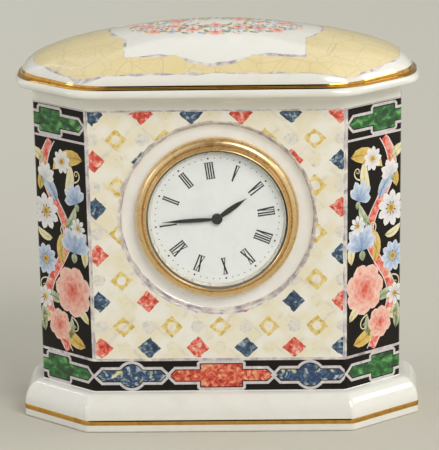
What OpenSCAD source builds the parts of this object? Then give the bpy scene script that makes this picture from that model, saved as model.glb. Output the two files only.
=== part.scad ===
// Desk clock: a glazed china case with a round clock insert pushed into its front.
// The case stands on z = 0, its front looks along -Y, and the origin is the middle of its foot.

/* [China case] */
// Width of the body where it stands on the plinth
body_w = 102; // [94:1:120]
// Depth of the body from front to back
body_d = 46.4; // [44:0.2:60]
// Height of the body between plinth and cove
body_h = 81.6; // [76:0.2:100]
// How far each side leans out by the top of the body
side_lean = 1.1; // [0:0.1:2]
// Length that each cut corner takes off the front and off the side
corner_cut = 15.4; // [12:0.2:17]
// Radius that softens the upright edges of body and plinth
edge_r = 2; // [1:0.1:3]
// Thickness of the china wall
wall = 3.5; // [2.6:0.1:4.2]

/* [Plinth] */
// Height of the plinth
plinth_h = 10.5; // [8:0.5:14]
// How far the plinth stands out from the body
plinth_out = 5.4; // [4.4:0.1:7]
// Height of the plinth's upright edge, where its round shoulder starts
plinth_edge = 3.5; // [2.5:0.1:5]
// How far the foot is drawn in below the upright edge
foot_in = 0.6; // [0.2:0.1:1]
// Width of the foot rim that the case stands on
foot_w = 4.5; // [3:0.1:6]
// Depth of the recess inside the foot rim
foot_recess = 1.2; // [0.6:0.1:2]
// Diameter of the vent hole in the floor of the case
vent_d = 6; // [3:0.5:8]

/* [Cornice and top] */
// Height of the hollow cove under the rim
cove_h = 4.2; // [3:0.1:6]
// How far the cove reaches out
cove_out = 5; // [4:0.1:6]
// Height of the rounded rim
rim_h = 2.9; // [2:0.1:5]
// How far the rounded rim swells beyond the cove
rim_bulge = 1.45; // [0.4:0.05:1.6]
// How far the edge of the top stands out from the body
top_out = 4.5; // [3.5:0.1:5]
// Radius that softens the corners of the top
top_edge_r = 18; // [2:0.5:20]
// Rise of the pillow-shaped top
dome_h = 14.2; // [8:0.1:18]
// How flat the crown of the top is: a higher power is flatter
crown_power = 1.6; // [1.4:0.1:3]
// How steeply the top rises from its edge: a lower power is steeper
shoulder_power = 0.5; // [0.45:0.05:1]

/* [Dial opening] */
// Height of the middle of the opening above the table
opening_height = 61; // [56:0.2:64]
// Diameter of the bore that holds the insert
bore_d = 42; // [40:0.1:44]
// Length of the bore, with the collar behind the wall
bore_l = 6.5; // [6:0.1:9]
// How thick the collar round the bore is
collar_w = 6.5; // [5:0.1:8]
// Diameter of the dished edge round the bezel
dish_d = 54.6; // [52:0.2:58]
// Diameter of the flat seat at the bottom of the dish
seat_d = 49; // [47:0.2:51]
// Depth of the dish
dish_depth = 2; // [0.6:0.1:2.4]

/* [Insert] */
// Diameter of the bezel
bezel_d = 46; // [45:0.1:48]
// Height above the seat at which the bezel's bead is widest
bead_z = 1.2; // [0.9:0.1:1.4]
// Height of the groove between the bezel's bead and its cone
groove_z = 3.3; // [2.8:0.1:3.6]
// Diameter of the groove
groove_d = 42.2; // [41.8:0.1:43]
// Thickness of the bezel's lip over the crystal
lip_t = 0.4; // [0.3:0.05:0.6]
// Diameter of the clear window in the bezel
window_d = 39.8; // [38:0.1:40]
// Diameter of the insert's cup
cup_d = 40.4; // [40.2:0.1:40.8]
// Thickness of the cup's wall round the dial
cup_wall = 0.6; // [0.4:0.05:0.9]
// Width of the shoulder in the cup that carries the movement
cup_shoulder = 1; // [0.6:0.1:1.2]
// Thickness of the cup's back
cup_back = 0.6; // [0.5:0.1:1]
// Thickness of the cup's flange
flange_t = 0.8; // [0.6:0.1:1]
// How far the flange reaches out past the cup
flange_w = 2; // [1.6:0.1:2.2]
// Thickness of the crystal
crystal_t = 0.9; // [0.8:0.1:1.2]
// Height of the dial's face above the seat
dial_rise = 2.5; // [2.2:0.1:2.8]
// Thickness of the dial
dial_t = 0.4; // [0.3:0.05:0.6]
// How far the dial ring reaches in over the dial
dial_ring_w = 0.85; // [0.4:0.05:1.2]
// Angle that the insert is turned clockwise in its bore
insert_turn = 232.3; // [0:0.1:359.9]

/* [Hands] */
// Hour that the hands show
shown_hour = 6; // [0:1:11]
// Minute that the hands show
shown_minute = 5.75; // [0:0.25:59.75]
// Length of the hour hand
hour_l = 10.3; // [8:0.1:12]
// Widest part of the hour hand
hour_w = 1.5; // [1:0.1:2]
// Length of the minute hand
minute_l = 15.5; // [13:0.1:17]
// Widest part of the minute hand
minute_w = 1.15; // [0.8:0.05:1.6]
// Thickness of the hands
hand_t = 0.2; // [0.15:0.05:0.2]
// Room for the hands between the dial and the crystal
hands_room = 1.2; // [1.2:0.1:1.6]
// Radius of the hub that covers the hands' boss
hub_r = 1.5; // [1.3:0.05:1.8]

/* [Movement] */
// Depth of the space for the motion work behind the dial
motion_h = 2.2; // [2.2:0.1:2.6]
// Thickness of the main plate
plate_t = 1; // [0.8:0.1:1.4]
// Depth of the space for the going train
train_h = 4.5; // [4.5:0.1:5.5]
// Thickness of the bridge
bridge_t = 0.8; // [0.7:0.1:1.2]
// Space between the bridge and the cup's back
back_gap = 1.4; // [1.4:0.1:2]
// Radius of the bridge
bridge_r = 17.8; // [17.4:0.1:18.2]
// Radius of the wheels' pivots
pivot_r = 0.3; // [0.25:0.01:0.35]
// Radius of the cannon pinion's arbor
arbor_r = 0.5; // [0.4:0.01:0.55]
// Radius of the cannon pinion's pipe, which carries the minute hand
pipe_r = 0.85; // [0.8:0.01:0.95]
// Radius of the hour wheel's pipe, which carries the hour hand
hour_pipe_r = 1.25; // [1.2:0.01:1.35]
// Thickness of a wheel's toothed disc
wheel_t = 0.4; // [0.3:0.05:0.45]
// Tooth module of the going train
train_m = 0.2; // [0.19:0.005:0.205]
// Tooth module where the cannon pinion and the knob meet the minute wheel
minute_m = 0.25; // [0.24:0.005:0.26]

/* [Battery and knob] */
// Diameter of the button cell
cell_d = 9.5; // [9:0.1:9.8]
// Thickness of the button cell
cell_t = 3.6; // [3:0.1:3.8]
// Distance of the button cell from the middle of the dial
cell_y = 12.4; // [12.2:0.1:12.6]
// Thickness of the hatch where it lies on the cup
hatch_t = 0.4; // [0.3:0.1:0.8]
// Radius of the setting knob
knob_r = 4.2; // [3.5:0.1:5]
// Thickness of the setting knob
knob_t = 1.6; // [1.2:0.1:2.2]
// Radius of the setting knob's stem
stem_r = 0.8; // [0.6:0.05:0.9]

/* [Hidden] */

// Clearances: a running fit, a loose fit, and the least gap between parts that pass each other
running = 0.03;
loose = 0.05;
gap = 0.3;
// A cut starts this far outside the face that it opens
over = 1;

// Heights of the case
cove_z = plinth_h + body_h;
rim_z = cove_z + cove_h;
top_z = rim_z + rim_h;
// A small hollow rounds the corner where the body meets the plinth
plinth_fillet = 0.4;
// Shortest flat that the soft corners leave on the narrow sides
side_flat = 1;
// Points for the round stretches of the case's profile, and along each softened upright edge
arc_steps = 6;
dome_steps = 11;
edge_steps = 4;
// Points along the flats, from the cut corner at the back right round to the right side
flat_steps = [1, 5, 1, 2, 1, 5, 1, 2];

// Places of the insert, along its own axis: the seat is 0 and the front is up
seat_y = dish_depth - body_d / 2;
dial_z = dial_rise;
crystal_z = dial_z + hands_room;
lip_z = crystal_z + crystal_t;
dial_back_z = dial_z - dial_t;
plate_front_z = dial_back_z - motion_h;
plate_back_z = plate_front_z - plate_t;
bridge_front_z = plate_back_z - train_h;
bridge_back_z = bridge_front_z - bridge_t;
cup_floor_z = bridge_back_z - back_gap;
cup_back_z = cup_floor_z - cup_back;

// Radii of the insert
cup_r = cup_d / 2;
cup_in_r = cup_r - cup_wall;
cup_low_r = cup_in_r - cup_shoulder;
flange_r = cup_r + flange_w;
fitted_r = cup_in_r - 0.1;

// The grip ring and the bead of the cup behind it
ring_top_z = -gap;
ring_l = 5.5;
bead_t = 0.8;
bead_top_z = ring_top_z - ring_l - gap;
bead_w = 0.4;
ring_ribs = 3;

// Levels of the hands and the motion work
hand_lift = 0.25;
hand_step = 0.35;
hour_hand_z = dial_z + hand_lift;
minute_hand_z = hour_hand_z + hand_step;
hub_h = 0.4;
pinion_lift = 0.15;
pinion_h = 0.65;
level_gap = 0.1;
minute_wheel_lift = 0.3;
motion_step = 1;
minute_wheel_z = plate_front_z + minute_wheel_lift;
hour_wheel_z = minute_wheel_z + motion_step;
stud_r = 0.4;
stud_short = 0.5;
plate_rim_w = 1.9;

// Tooth counts
cannon_n = 12;
minute_n = 36;
minute_pinion_n = 10;
hour_n = 40;
knob_n = 12;
centre_n = 64;
third_n = 60;
seconds_n = 40;
step_n = 36;
leaf_n = 8;
rotor_n = 6;

// The minute wheel is as far from the hour wheel as from the cannon pinion
motion_r = (cannon_n + minute_n) * minute_m / 2;
hour_m = 2 * motion_r / (minute_pinion_n + hour_n);

// One tooth: shares of a pitch from its middle, and modules from the pitch circle
tooth_form = [[-0.3, -1], [-0.09, 0.75], [0.09, 0.75], [0.3, -1]];

// Where the arbors stand, seen from the front with the XII up
centre_at = [0, 0];
minute_at = [0, -motion_r];
knob_at = minute_at - [0, (minute_n + knob_n) * minute_m / 2];
third_dir = 180;
seconds_dir = 110;
step_dir = 215;
rotor_dir = 260;
third_at = step_from(centre_at, third_dir, centre_n + leaf_n);
seconds_at = step_from(third_at, seconds_dir, third_n + leaf_n);
step_at = step_from(seconds_at, step_dir, seconds_n + leaf_n);
rotor_at = step_from(step_at, rotor_dir, step_n + rotor_n);
cell_at = [0, cell_y];
pillar_dirs = [62, 128, 245, 310];
pillar_from_centre = 16;
pillar_r = 1.4;
screw_r = 0.45;
screw_l = 3;

// Levels of the going train, down from the main plate
train_top = 0.8;
step_drop = 0.4;
train_step = 1.2;
centre_wheel_z = plate_back_z - train_top;
step_wheel_z = centre_wheel_z - step_drop;
third_wheel_z = centre_wheel_z - train_step;
seconds_wheel_z = third_wheel_z - train_step;
centre_collar = [1.2, 0.4];
leaf_h = 0.8;
pivot_l = 0.5;

// The stepping motor lies on the bridge
stator_t = 0.8;
magnet_r = 1.3;
magnet_lift = 0.2;
stator_hole_r = magnet_r + 0.35;
stator_ring_r = 2.6;
core_t = 1.2;
core_y = -9.5;
core_x0 = -14.6;
core_x1 = -3.6;
core_z = bridge_front_z + stator_t;
arm_w = 1.4;
arm_rise = 4;
bobbin_r = 2.1;
bobbin_end = 0.4;
winding_r = 1.85;
spool_r = 1.1;

// The circuit board lies on the bridge, at the right
board_t = 0.6;
board_x = 8;
board_half = 8.5;
board_r = 17.2;
board_front_z = bridge_front_z + board_t;
can_r = 0.95;
can_l = 6;
can_at = [10, -6];
chip_s = 4;
chip_t = 1;
chip_at = [13.6, -0.6];

// The battery stands on its hatch
hatch_floor_z = cup_floor_z + 0.2;
cell_top_z = hatch_floor_z + cell_t;
cell_r = cell_d / 2;
tray_wall = 0.5;
tray_r = cell_r + loose + tray_wall;
hatch_hole_r = tray_r + 2 * loose;
hatch_r = hatch_hole_r + 0.5;
tray_h = 1.2;
coin_slot = [6, 1];
contact_t = 0.25;
contact_w = 1.6;
minus_end = [12.5, 6];

// A place at a distance of so many half pitches from another arbor
function step_from(from, dir, teeth) = from + teeth * train_m / 2 * [cos(dir), sin(dir)];

// Angle of the next wheel's first tooth, so that it meshes with a wheel whose first tooth is at first
function mesh_angle(dir, teeth, first, next_teeth) =
    dir + 180 - 180 / next_teeth + (dir - first) * teeth / next_teeth;

// The outward lean of the sides grows up the body and is taken back in the cove
function lean_at(z) = side_lean * min(max((z - plinth_h) / body_h, 0), max((rim_z - z) / cove_h, 0), 1);

// The corners grow softer from the top of the body to the edge of the top
function edge_at(z) = edge_r + (top_edge_r - edge_r) * min(max((z - cove_z) / (top_z - cove_z), 0), 1);

// The softest corners that still leave a short flat on each side of a ring that stands out by e
function softest(e) = e + (body_d / 2 - corner_cut - side_flat / 2) / (sqrt(2) - 1);

// One ring of the case: an octagon that stands out from the body by e, with round corners
function case_ring(e, z, steps) =
    let (r = min(edge_at(z), softest(e)))
    let (x = body_w / 2 + lean_at(z) + e - r)
    let (y = body_d / 2 + e - r)
    let (cut = corner_cut + (e - r) * (2 - sqrt(2)))
    let (right = [[x, y - cut], [x - cut, y]])
    let (left = [[cut - x, y], [-x, y - cut]])
    let (corners = concat(right, left, -right, -left))
    [for (k = [0:7]) each concat(
        [for (j = [0:steps]) corner_point(corners[k], k + j / steps, r, z)],
        [for (j = [1:flat_steps[k]])
            let (s = j / (flat_steps[k] + 1))
            let (next = corners[(k + 1) % 8])
            (1 - s) * corner_point(corners[k], k + 1, r, z) + s * corner_point(next, k + 1, r, z)])];

// A point of a ring's round corner, at so many eighths of a turn
function corner_point(corner, eighths, r, z) =
    [corner[0] + r * cos(45 * eighths), corner[1] + r * sin(45 * eighths), z];

// Share of the top's rise at a share t of its spread
function dome_at(t) = pow(1 - pow(t, crown_power), shoulder_power);

// One ring of the top: the octagon shrinks by t and turns into an ellipse as it rises
function dome_ring(e, foot, rise, t, steps) =
    let (x = body_w / 2 + e)
    let (y = body_d / 2 + e)
    let (m = 1 - t * t)
    [for (p = case_ring(e, top_z, steps))
        let (a = atan2(p[1] / y, p[0] / x))
        [t * ((1 - m) * p[0] + m * x * cos(a)), t * ((1 - m) * p[1] + m * y * sin(a)),
         foot + rise * dome_at(t)]];

// The case's profile, as pairs of how far it stands out from the body and its height
outer_profile = concat(
    [[plinth_out - foot_in, 0], [plinth_out, foot_in]],
    [for (i = [0:arc_steps]) let (a = 90 * i / arc_steps)
        [plinth_fillet + (plinth_out - plinth_fillet) * cos(a),
         plinth_edge + (plinth_h - plinth_edge) * sin(a)]],
    [[0, plinth_h + plinth_fillet]],
    [for (i = [0:arc_steps]) let (a = 90 * i / arc_steps)
        [cove_out * (1 - cos(a)), cove_z + cove_h * sin(a)]],
    [for (i = [1:arc_steps]) let (s = (1 - cos(180 * i / arc_steps)) / 2)
        [cove_out + (top_out - cove_out) * s + rim_bulge * sin(180 * i / arc_steps), rim_z + rim_h * s]]);

// The hollow follows it one wall further in
floor_z = foot_recess + wall;
inner_profile = [
    [plinth_out - wall, floor_z],
    [-wall, plinth_h + wall / 2],
    [-wall, cove_z + cove_h / 2.5]];

// Closed solid round the z axis, through rings that all have the same number of points
module loft(rings) {
    n = len(rings[0]);
    last = len(rings) - 1;
    sides = [for (i = [0:last - 1]) for (k = [0:n - 1])
        let (a = i * n + k)
        let (b = i * n + (k + 1) % n)
        each [[a, a + n, b + n], [a, b + n, b]]];
    below = (last + 1) * n;
    floor_faces = [for (k = [0:n - 1]) [k, (k + 1) % n, below]];
    roof_faces = [for (k = [0:n - 1]) [last * n + (k + 1) % n, last * n + k, below + 1]];
    middles = [[0, 0, rings[0][0][2]], [0, 0, rings[last][0][2]]];
    polyhedron(concat([for (r = rings) each r], middles), concat(sides, floor_faces, roof_faces));
}

// Puts the insert in its bore: its own x is to the right, its y is up and its z is to the front
module in_bore() {
    translate([0, seat_y, opening_height]) rotate([90, 0, 0]) children();
}

// Puts a piece in the turned insert, at a place on the dial and a depth
module in_insert(at = [0, 0], z = 0) {
    in_bore() rotate(-insert_turn) translate([at[0], at[1], z]) children();
}

// Disc from z up to its height
module disc(r, h) {
    cylinder(r = r, h = h, $fn = 96);
}

module pin(r, h) {
    cylinder(r = r, h = h, $fn = 32);
}

// Toothed disc with its first tooth at an angle
module teeth(n, m, first, h) {
    outline = [for (k = [0:n - 1]) for (f = tooth_form)
        let (a = first + 360 / n * (k + f[0]))
        (n * m / 2 + f[1] * m) * [cos(a), sin(a)]];
    linear_extrude(h) polygon(outline);
}

// Arbor between the plates, as an object that stands on the bridge's level
module arbor() {
    translate([0, 0, bridge_front_z - pivot_l]) pin(pivot_r, train_h + 2 * pivot_l);
}

// Slip-cast china case, glazed and gilded: one hollow piece with a bore in its front
module china_case() {
    color("ivory") difference() {
        loft(concat(
            [for (p = outer_profile) case_ring(p[0], p[1], edge_steps)],
            [for (i = [1:dome_steps])
                dome_ring(top_out, top_z, dome_h, 1 - 0.96 * pow(i / dome_steps, 2), edge_steps)]));
        difference() {
            loft(concat(
                [for (p = inner_profile) case_ring(p[0], p[1], 1)],
                [for (i = [0:4]) dome_ring(top_out - wall, top_z - wall, dome_h, 1 - 0.2 * i, 1)]));
            in_bore() translate([0, 0, -bore_l]) disc(bore_d / 2 + collar_w, bore_l);
        }
        translate([0, 0, -over]) linear_extrude(over + foot_recess)
            polygon([for (p = case_ring(plinth_out - foot_in - foot_w, 0, 1)) [p[0], p[1]]]);
        pin(vent_d / 2, floor_z + over);
        in_bore() {
            translate([0, 0, -bore_l - over]) disc(bore_d / 2, bore_l + 2 * over);
            rotate_extrude($fn = 96) dish_outline();
        }
    }
}

// Half of the dish round the bezel, hollowed to a flat seat
module dish_outline() {
    out = dish_d / 2;
    run = (dish_d - seat_d) / 2;
    rise = [for (i = [arc_steps:-1:0]) let (a = 90 * i / arc_steps)
        [out - run * (1 - cos(a)), dish_depth * (1 - sin(a))]];
    polygon(concat([[0, 0]], rise, [[out, dish_depth + over], [0, dish_depth + over]]));
}

// Rubber ring on the cup, with ribs that grip the bore
module grip_ring() {
    inner = cup_r + running;
    outer = bore_d / 2 - loose;
    web = inner + (outer - inner) / 2;
    pitch = ring_l / ring_ribs;
    ribs = [for (i = [0:ring_ribs - 1]) let (z = ring_top_z - i * pitch)
        each [[web, z], [outer, z - pitch * 0.3], [outer, z - pitch * 0.6], [web, z - pitch * 0.9]]];
    color("dimgray") in_bore() rotate_extrude($fn = 96)
        polygon(concat([[inner, ring_top_z]], ribs,
            [[web, ring_top_z - ring_l], [inner, ring_top_z - ring_l]]));
}

// Moulded cup of the insert: its flange lies under the bezel, and its shoulder carries the movement
module cup() {
    color("gainsboro") in_insert() difference() {
        rotate_extrude($fn = 96) polygon([
            [0, cup_back_z], [cup_r, cup_back_z],
            [cup_r, bead_top_z - bead_t], [cup_r + bead_w, bead_top_z - bead_t],
            [cup_r + bead_w, bead_top_z], [cup_r, bead_top_z],
            [cup_r, 0], [flange_r, 0], [flange_r, flange_t], [cup_r, flange_t],
            [cup_r, crystal_z], [cup_in_r, crystal_z],
            [cup_in_r, plate_back_z], [cup_low_r, plate_back_z], [cup_low_r, cup_floor_z],
            [0, cup_floor_z]]);
        translate([cell_at[0], cell_at[1], cup_back_z - over]) disc(hatch_hole_r, cup_back + 2 * over);
        translate([knob_at[0], knob_at[1], cup_back_z - over]) pin(stem_r + loose, cup_back + 2 * over);
    }
}

// Gilt brass bezel: a round bead, a groove and a cone that rises to the lip; it snaps over the flange
module bezel() {
    groove_r = groove_d / 2;
    groove_w = 0.15;
    bead_x = groove_r + groove_w;
    bead_rx = bezel_d / 2 - bead_x;
    bead_rz = groove_z - bead_z;
    foot = asin(bead_z / bead_rz);
    bead = [for (i = [0:12]) let (a = (90 + foot) * i / 12 - foot)
        [bead_x + bead_rx * cos(a), bead_z + bead_rz * sin(a)]];
    inside = cup_r + loose;
    flange_inside = flange_r + loose;
    lip_top = lip_z + lip_t;
    color("goldenrod") in_insert() rotate_extrude($fn = 96) polygon(concat(
        [[flange_inside, 0]], bead,
        [[groove_r, groove_z - 1.5 * groove_w], [groove_r - groove_w, groove_z + groove_w / 2],
         [inside, lip_top - lip_t / 2], [inside - lip_t / 2, lip_top], [window_d / 2, lip_top - lip_t / 3],
         [window_d / 2, lip_z], [inside, lip_z], [inside, flange_t], [flange_inside, flange_t]]));
}

// Flat crystal on the rim of the cup, held by the bezel's lip
module crystal() {
    color("lightcyan", 0.4) in_insert(z = crystal_z) disc(cup_r, crystal_t);
}

// Pale ring between the dial and the crystal
module dial_ring() {
    rim_w = 0.1;
    low = fitted_r - dial_ring_w;
    high = fitted_r - rim_w;
    color("whitesmoke") in_insert() rotate_extrude($fn = 96)
        polygon([[low, dial_z], [fitted_r, dial_z], [fitted_r, crystal_z], [high, crystal_z]]);
}

module dial() {
    color("white") in_insert(z = dial_back_z) difference() {
        disc(fitted_r, dial_t);
        translate([0, 0, -over]) pin(hour_pipe_r + gap / 2, dial_t + 2 * over);
    }
}

// Leaf-shaped hand with a tail, pointing up at twelve, with its under side at 0
module leaf(length, width, boss_r) {
    side = [for (i = [0:12]) let (s = i / 12)
        [width / 2 * (0.3 + 0.7 * sin(180 * pow(s, 0.8))) * min(1, 3 * (1 - s) + 0.1), length * s]];
    linear_extrude(hand_t) union() {
        polygon(concat(side, [for (i = [12:-1:0]) [-side[i][0], side[i][1]]]));
        circle(r = boss_r, $fn = 48);
    }
}

module hour_hand() {
    turn = 30 * (shown_hour + shown_minute / 60);
    color("black") in_insert(z = hour_hand_z) difference() {
        rotate(-turn) leaf(hour_l, hour_w, hour_pipe_r + gap);
        translate([0, 0, -over]) pin(hour_pipe_r + running, hand_t + 2 * over);
    }
}

// Minute hand with the round hub that closes over the cannon pinion's pipe
module minute_hand() {
    color("black") in_insert(z = minute_hand_z) difference() {
        union() {
            rotate(-6 * shown_minute) leaf(minute_l, minute_w, hub_r);
            pin(hub_r, hub_h);
        }
        translate([0, 0, -over]) pin(pipe_r + running, over + hub_h / 2);
    }
}

// Main plate with the rim that carries the dial, the minute wheel's stud and four pillars
module main_plate() {
    color("silver") in_insert() difference() {
        union() {
            translate([0, 0, plate_back_z]) disc(fitted_r, plate_t);
            translate([0, 0, plate_front_z]) difference() {
                disc(fitted_r, motion_h);
                translate([0, 0, -over]) disc(fitted_r - plate_rim_w, motion_h + 2 * over);
            }
            translate([minute_at[0], minute_at[1], plate_back_z])
                pin(stud_r, plate_t + motion_h - stud_short);
            at_pillars() translate([0, 0, bridge_front_z]) pin(pillar_r, train_h + plate_t / 2);
        }
        translate([0, 0, plate_back_z - over]) {
            pin(arbor_r + running, plate_t + 2 * over);
            translate(knob_at) pin(stem_r + loose, plate_t + 2 * over);
            for (at = [third_at, seconds_at, step_at, rotor_at])
                translate(at) pin(pivot_r + running, plate_t + 2 * over);
        }
        at_pillars() translate([0, 0, bridge_front_z - over]) pin(screw_r + loose, screw_l + over);
    }
}

// Each of the places where a pillar stands
module at_pillars() {
    for (dir = pillar_dirs) rotate(dir) translate([pillar_from_centre, 0, 0]) children();
}

// Back plate, open round the battery and the coil
module bridge() {
    slot_r = hatch_hole_r + 0.3;
    color("silver") in_insert() difference() {
        translate([0, 0, bridge_back_z]) disc(bridge_r, bridge_t);
        translate([0, 0, bridge_back_z - over]) {
            translate(cell_at) disc(slot_r, bridge_t + 2 * over);
            translate([-slot_r, cell_at[1], 0]) cube([2 * slot_r, bridge_r, bridge_t + 2 * over]);
            translate([core_x0 + arm_w, core_y - bobbin_r - gap, 0])
                cube([core_x1 - core_x0 - 2 * arm_w, 2 * (bobbin_r + gap), bridge_t + 2 * over]);
            pin(arbor_r + running, bridge_t + 2 * over);
            translate(knob_at) pin(stem_r + loose, bridge_t + 2 * over);
            for (at = [third_at, seconds_at, step_at, rotor_at])
                translate(at) pin(pivot_r + running, bridge_t + 2 * over);
            at_pillars() pin(screw_r + 2 * loose, bridge_t + 2 * over);
        }
    }
}

module movement_screws() {
    head_r = 1.1;
    head_t = 0.6;
    slot_w = 0.3;
    color("gray") in_insert() at_pillars() difference() {
        union() {
            translate([0, 0, bridge_back_z - head_t]) pin(head_r, head_t);
            translate([0, 0, bridge_back_z]) pin(screw_r, bridge_t + screw_l - gap);
        }
        translate([-head_r - over, -slot_w / 2, bridge_back_z - head_t - over])
            cube([2 * (head_r + over), slot_w, over + head_t / 3]);
    }
}

// Angles of the first teeth in the motion work
minute_first = mesh_angle(-90, cannon_n, 0, minute_n);
hour_first = mesh_angle(90, minute_pinion_n, 0, hour_n);
knob_first = mesh_angle(-90, minute_n, minute_first, knob_n);

module cannon_pinion() {
    leaves_z = plate_front_z + pinion_lift;
    color("lightsteelblue") in_insert() union() {
        translate([0, 0, bridge_front_z - pivot_l]) pin(arbor_r, leaves_z - bridge_front_z + pivot_l);
        translate([0, 0, leaves_z]) teeth(cannon_n, minute_m, 0, pinion_h);
        translate([0, 0, leaves_z]) pin(pipe_r, minute_hand_z + hub_h / 2 - loose - leaves_z);
    }
}

module hour_wheel() {
    pipe_z = plate_front_z + pinion_lift + pinion_h + level_gap;
    color("burlywood") in_insert() difference() {
        union() {
            translate([0, 0, hour_wheel_z]) teeth(hour_n, hour_m, hour_first, wheel_t);
            translate([0, 0, pipe_z]) pin(hour_pipe_r, hour_hand_z + hand_t + loose - pipe_z);
        }
        translate([0, 0, pipe_z - over]) pin(pipe_r + running, hour_hand_z - pipe_z + 3 * over);
    }
}

module minute_wheel() {
    height = hour_wheel_z + wheel_t + level_gap - minute_wheel_z;
    color("burlywood") in_insert(minute_at, minute_wheel_z) difference() {
        union() {
            teeth(minute_n, minute_m, minute_first, wheel_t);
            teeth(minute_pinion_n, hour_m, 0, height);
        }
        translate([0, 0, -over]) pin(stud_r + running, height + 2 * over);
    }
}

// A wheel of the train on its arbor, with a pinion beside the wheel that drives or is driven
module train_wheel(at, teeth_n, wheel_z, pinion_n, pinion_first, pinion_z) {
    in_insert(at) union() {
        arbor();
        translate([0, 0, wheel_z]) teeth(teeth_n, train_m, 0, wheel_t);
        translate([0, 0, pinion_z]) teeth(pinion_n, train_m, pinion_first, leaf_h);
    }
}

// The centre wheel slips on the cannon pinion's arbor while the hands are set
module centre_wheel() {
    color("gold") in_insert(z = centre_wheel_z) difference() {
        union() {
            teeth(centre_n, train_m, 0, wheel_t);
            translate([0, 0, -centre_collar[1]]) pin(centre_collar[0], wheel_t + centre_collar[1]);
        }
        translate([0, 0, -over]) pin(arbor_r + running, wheel_t + 2 * over);
    }
}

// A pinion that meshes with a wheel starts half the difference of their heights below it
mesh_drop = (leaf_h - wheel_t) / 2;

module third_wheel() {
    color("gold") train_wheel(third_at, third_n, third_wheel_z, leaf_n,
        mesh_angle(third_dir, centre_n, 0, leaf_n), centre_wheel_z - mesh_drop);
}

module seconds_wheel() {
    color("gold") train_wheel(seconds_at, seconds_n, seconds_wheel_z, leaf_n,
        mesh_angle(seconds_dir, third_n, 0, leaf_n), third_wheel_z - mesh_drop);
}

module step_wheel() {
    color("gold") train_wheel(step_at, step_n, step_wheel_z, leaf_n,
        mesh_angle(step_dir, seconds_n, 0, leaf_n), seconds_wheel_z - mesh_drop);
}

module rotor() {
    color("dimgray") in_insert(rotor_at) union() {
        arbor();
        translate([0, 0, bridge_front_z + magnet_lift]) pin(magnet_r, stator_t);
        translate([0, 0, step_wheel_z - mesh_drop])
            teeth(rotor_n, train_m, mesh_angle(rotor_dir, step_n, 0, rotor_n), leaf_h);
    }
}

// Two-armed iron plate: a ring round the rotor, and an arm to each end of the coil's core
module stator() {
    low_y = core_y - core_t / 2;
    corner_y = core_y + arm_rise;
    color("slategray") in_insert() translate([0, 0, bridge_front_z]) linear_extrude(stator_t) difference() {
        union() {
            translate(rotor_at) circle(r = stator_ring_r, $fn = 64);
            polygon([[core_x0, low_y], [core_x0 + arm_w, low_y], [core_x0 + arm_w, rotor_at[1]],
                [core_x0, rotor_at[1]]]);
            polygon([[core_x1 - arm_w, low_y], [core_x1, low_y], [core_x1, corner_y + arm_w],
                [rotor_at[0] + arm_w, rotor_at[1]], [rotor_at[0] + arm_w, rotor_at[1] - arm_w],
                [core_x1 - arm_w, corner_y]]);
        }
        translate(rotor_at) circle(r = stator_hole_r, $fn = 64);
    }
}

module coil_core() {
    color("slategray") in_insert([core_x0, core_y - core_t / 2], core_z)
        cube([core_x1 - core_x0, core_t, core_t]);
}

// Turns what follows so that it lies along the coil's core, from its left end
module along_core() {
    in_insert([core_x0 + arm_w + gap, core_y], core_z + core_t / 2) rotate([0, 90, 0]) children();
}

bobbin_l = core_x1 - core_x0 - 2 * (arm_w + gap);

module bobbin() {
    hole = core_t + 2 * loose;
    color("olivedrab") along_core() difference() {
        union() {
            pin(bobbin_r, bobbin_end);
            pin(spool_r, bobbin_l);
            translate([0, 0, bobbin_l - bobbin_end]) pin(bobbin_r, bobbin_end);
        }
        translate([-hole / 2, -hole / 2, -over]) cube([hole, hole, bobbin_l + 2 * over]);
    }
}

module coil() {
    length = bobbin_l - 2 * (bobbin_end + loose);
    color("peru") along_core() translate([0, 0, bobbin_end + loose]) difference() {
        pin(winding_r, length);
        translate([0, 0, -over]) pin(spool_r + running, length + 2 * over);
    }
}

module circuit_board() {
    color("darkgreen") in_insert(z = bridge_front_z) intersection() {
        disc(board_r, board_t);
        translate([board_x, -board_half, -over]) cube([board_r, 2 * board_half, board_t + 2 * over]);
    }
}

module chip() {
    color("black") in_insert(chip_at, board_front_z) translate([-chip_s / 2, -chip_s / 2, 0])
        cube([chip_s, chip_s, chip_t]);
}

module quartz_can() {
    color("silver") in_insert(can_at, board_front_z + can_r) rotate([-90, 0, 0]) pin(can_r, can_l);
}

// Spring leaf against the side of the cell, with an arm that lies on the circuit board
module plus_contact() {
    leaf_x = cell_r + loose;
    leaf_y = cell_at[1] - 1.5 * contact_w;
    leaf_drop = 0.75 * contact_w;
    foot = [board_x + contact_w / 2, board_half - contact_t];
    color("goldenrod") in_insert(z = board_front_z) union() {
        translate([leaf_x, leaf_y, -leaf_drop]) cube([contact_t, 2 * contact_w, leaf_drop + contact_t]);
        linear_extrude(contact_t) polygon([[leaf_x, leaf_y + contact_w], [leaf_x, leaf_y],
            foot - [0, contact_w], foot + [contact_w, -contact_w], foot + [contact_w, 0],
            foot + [contact_w / 2, 0]]);
    }
}

// Strip under the button of the cell, with a foot on the circuit board
module minus_contact() {
    strip_z = cell_top_z + loose;
    reach = minus_end - cell_at;
    color("goldenrod") in_insert() union() {
        translate([cell_at[0], cell_at[1], strip_z]) rotate(atan2(reach[1], reach[0]))
            translate([0, -contact_w / 2, 0]) cube([norm(reach), contact_w, contact_t]);
        translate([minus_end[0] - contact_w / 2, minus_end[1] - contact_w / 2, board_front_z])
            cube([contact_w, contact_w, strip_z + contact_t - board_front_z]);
    }
}

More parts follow.
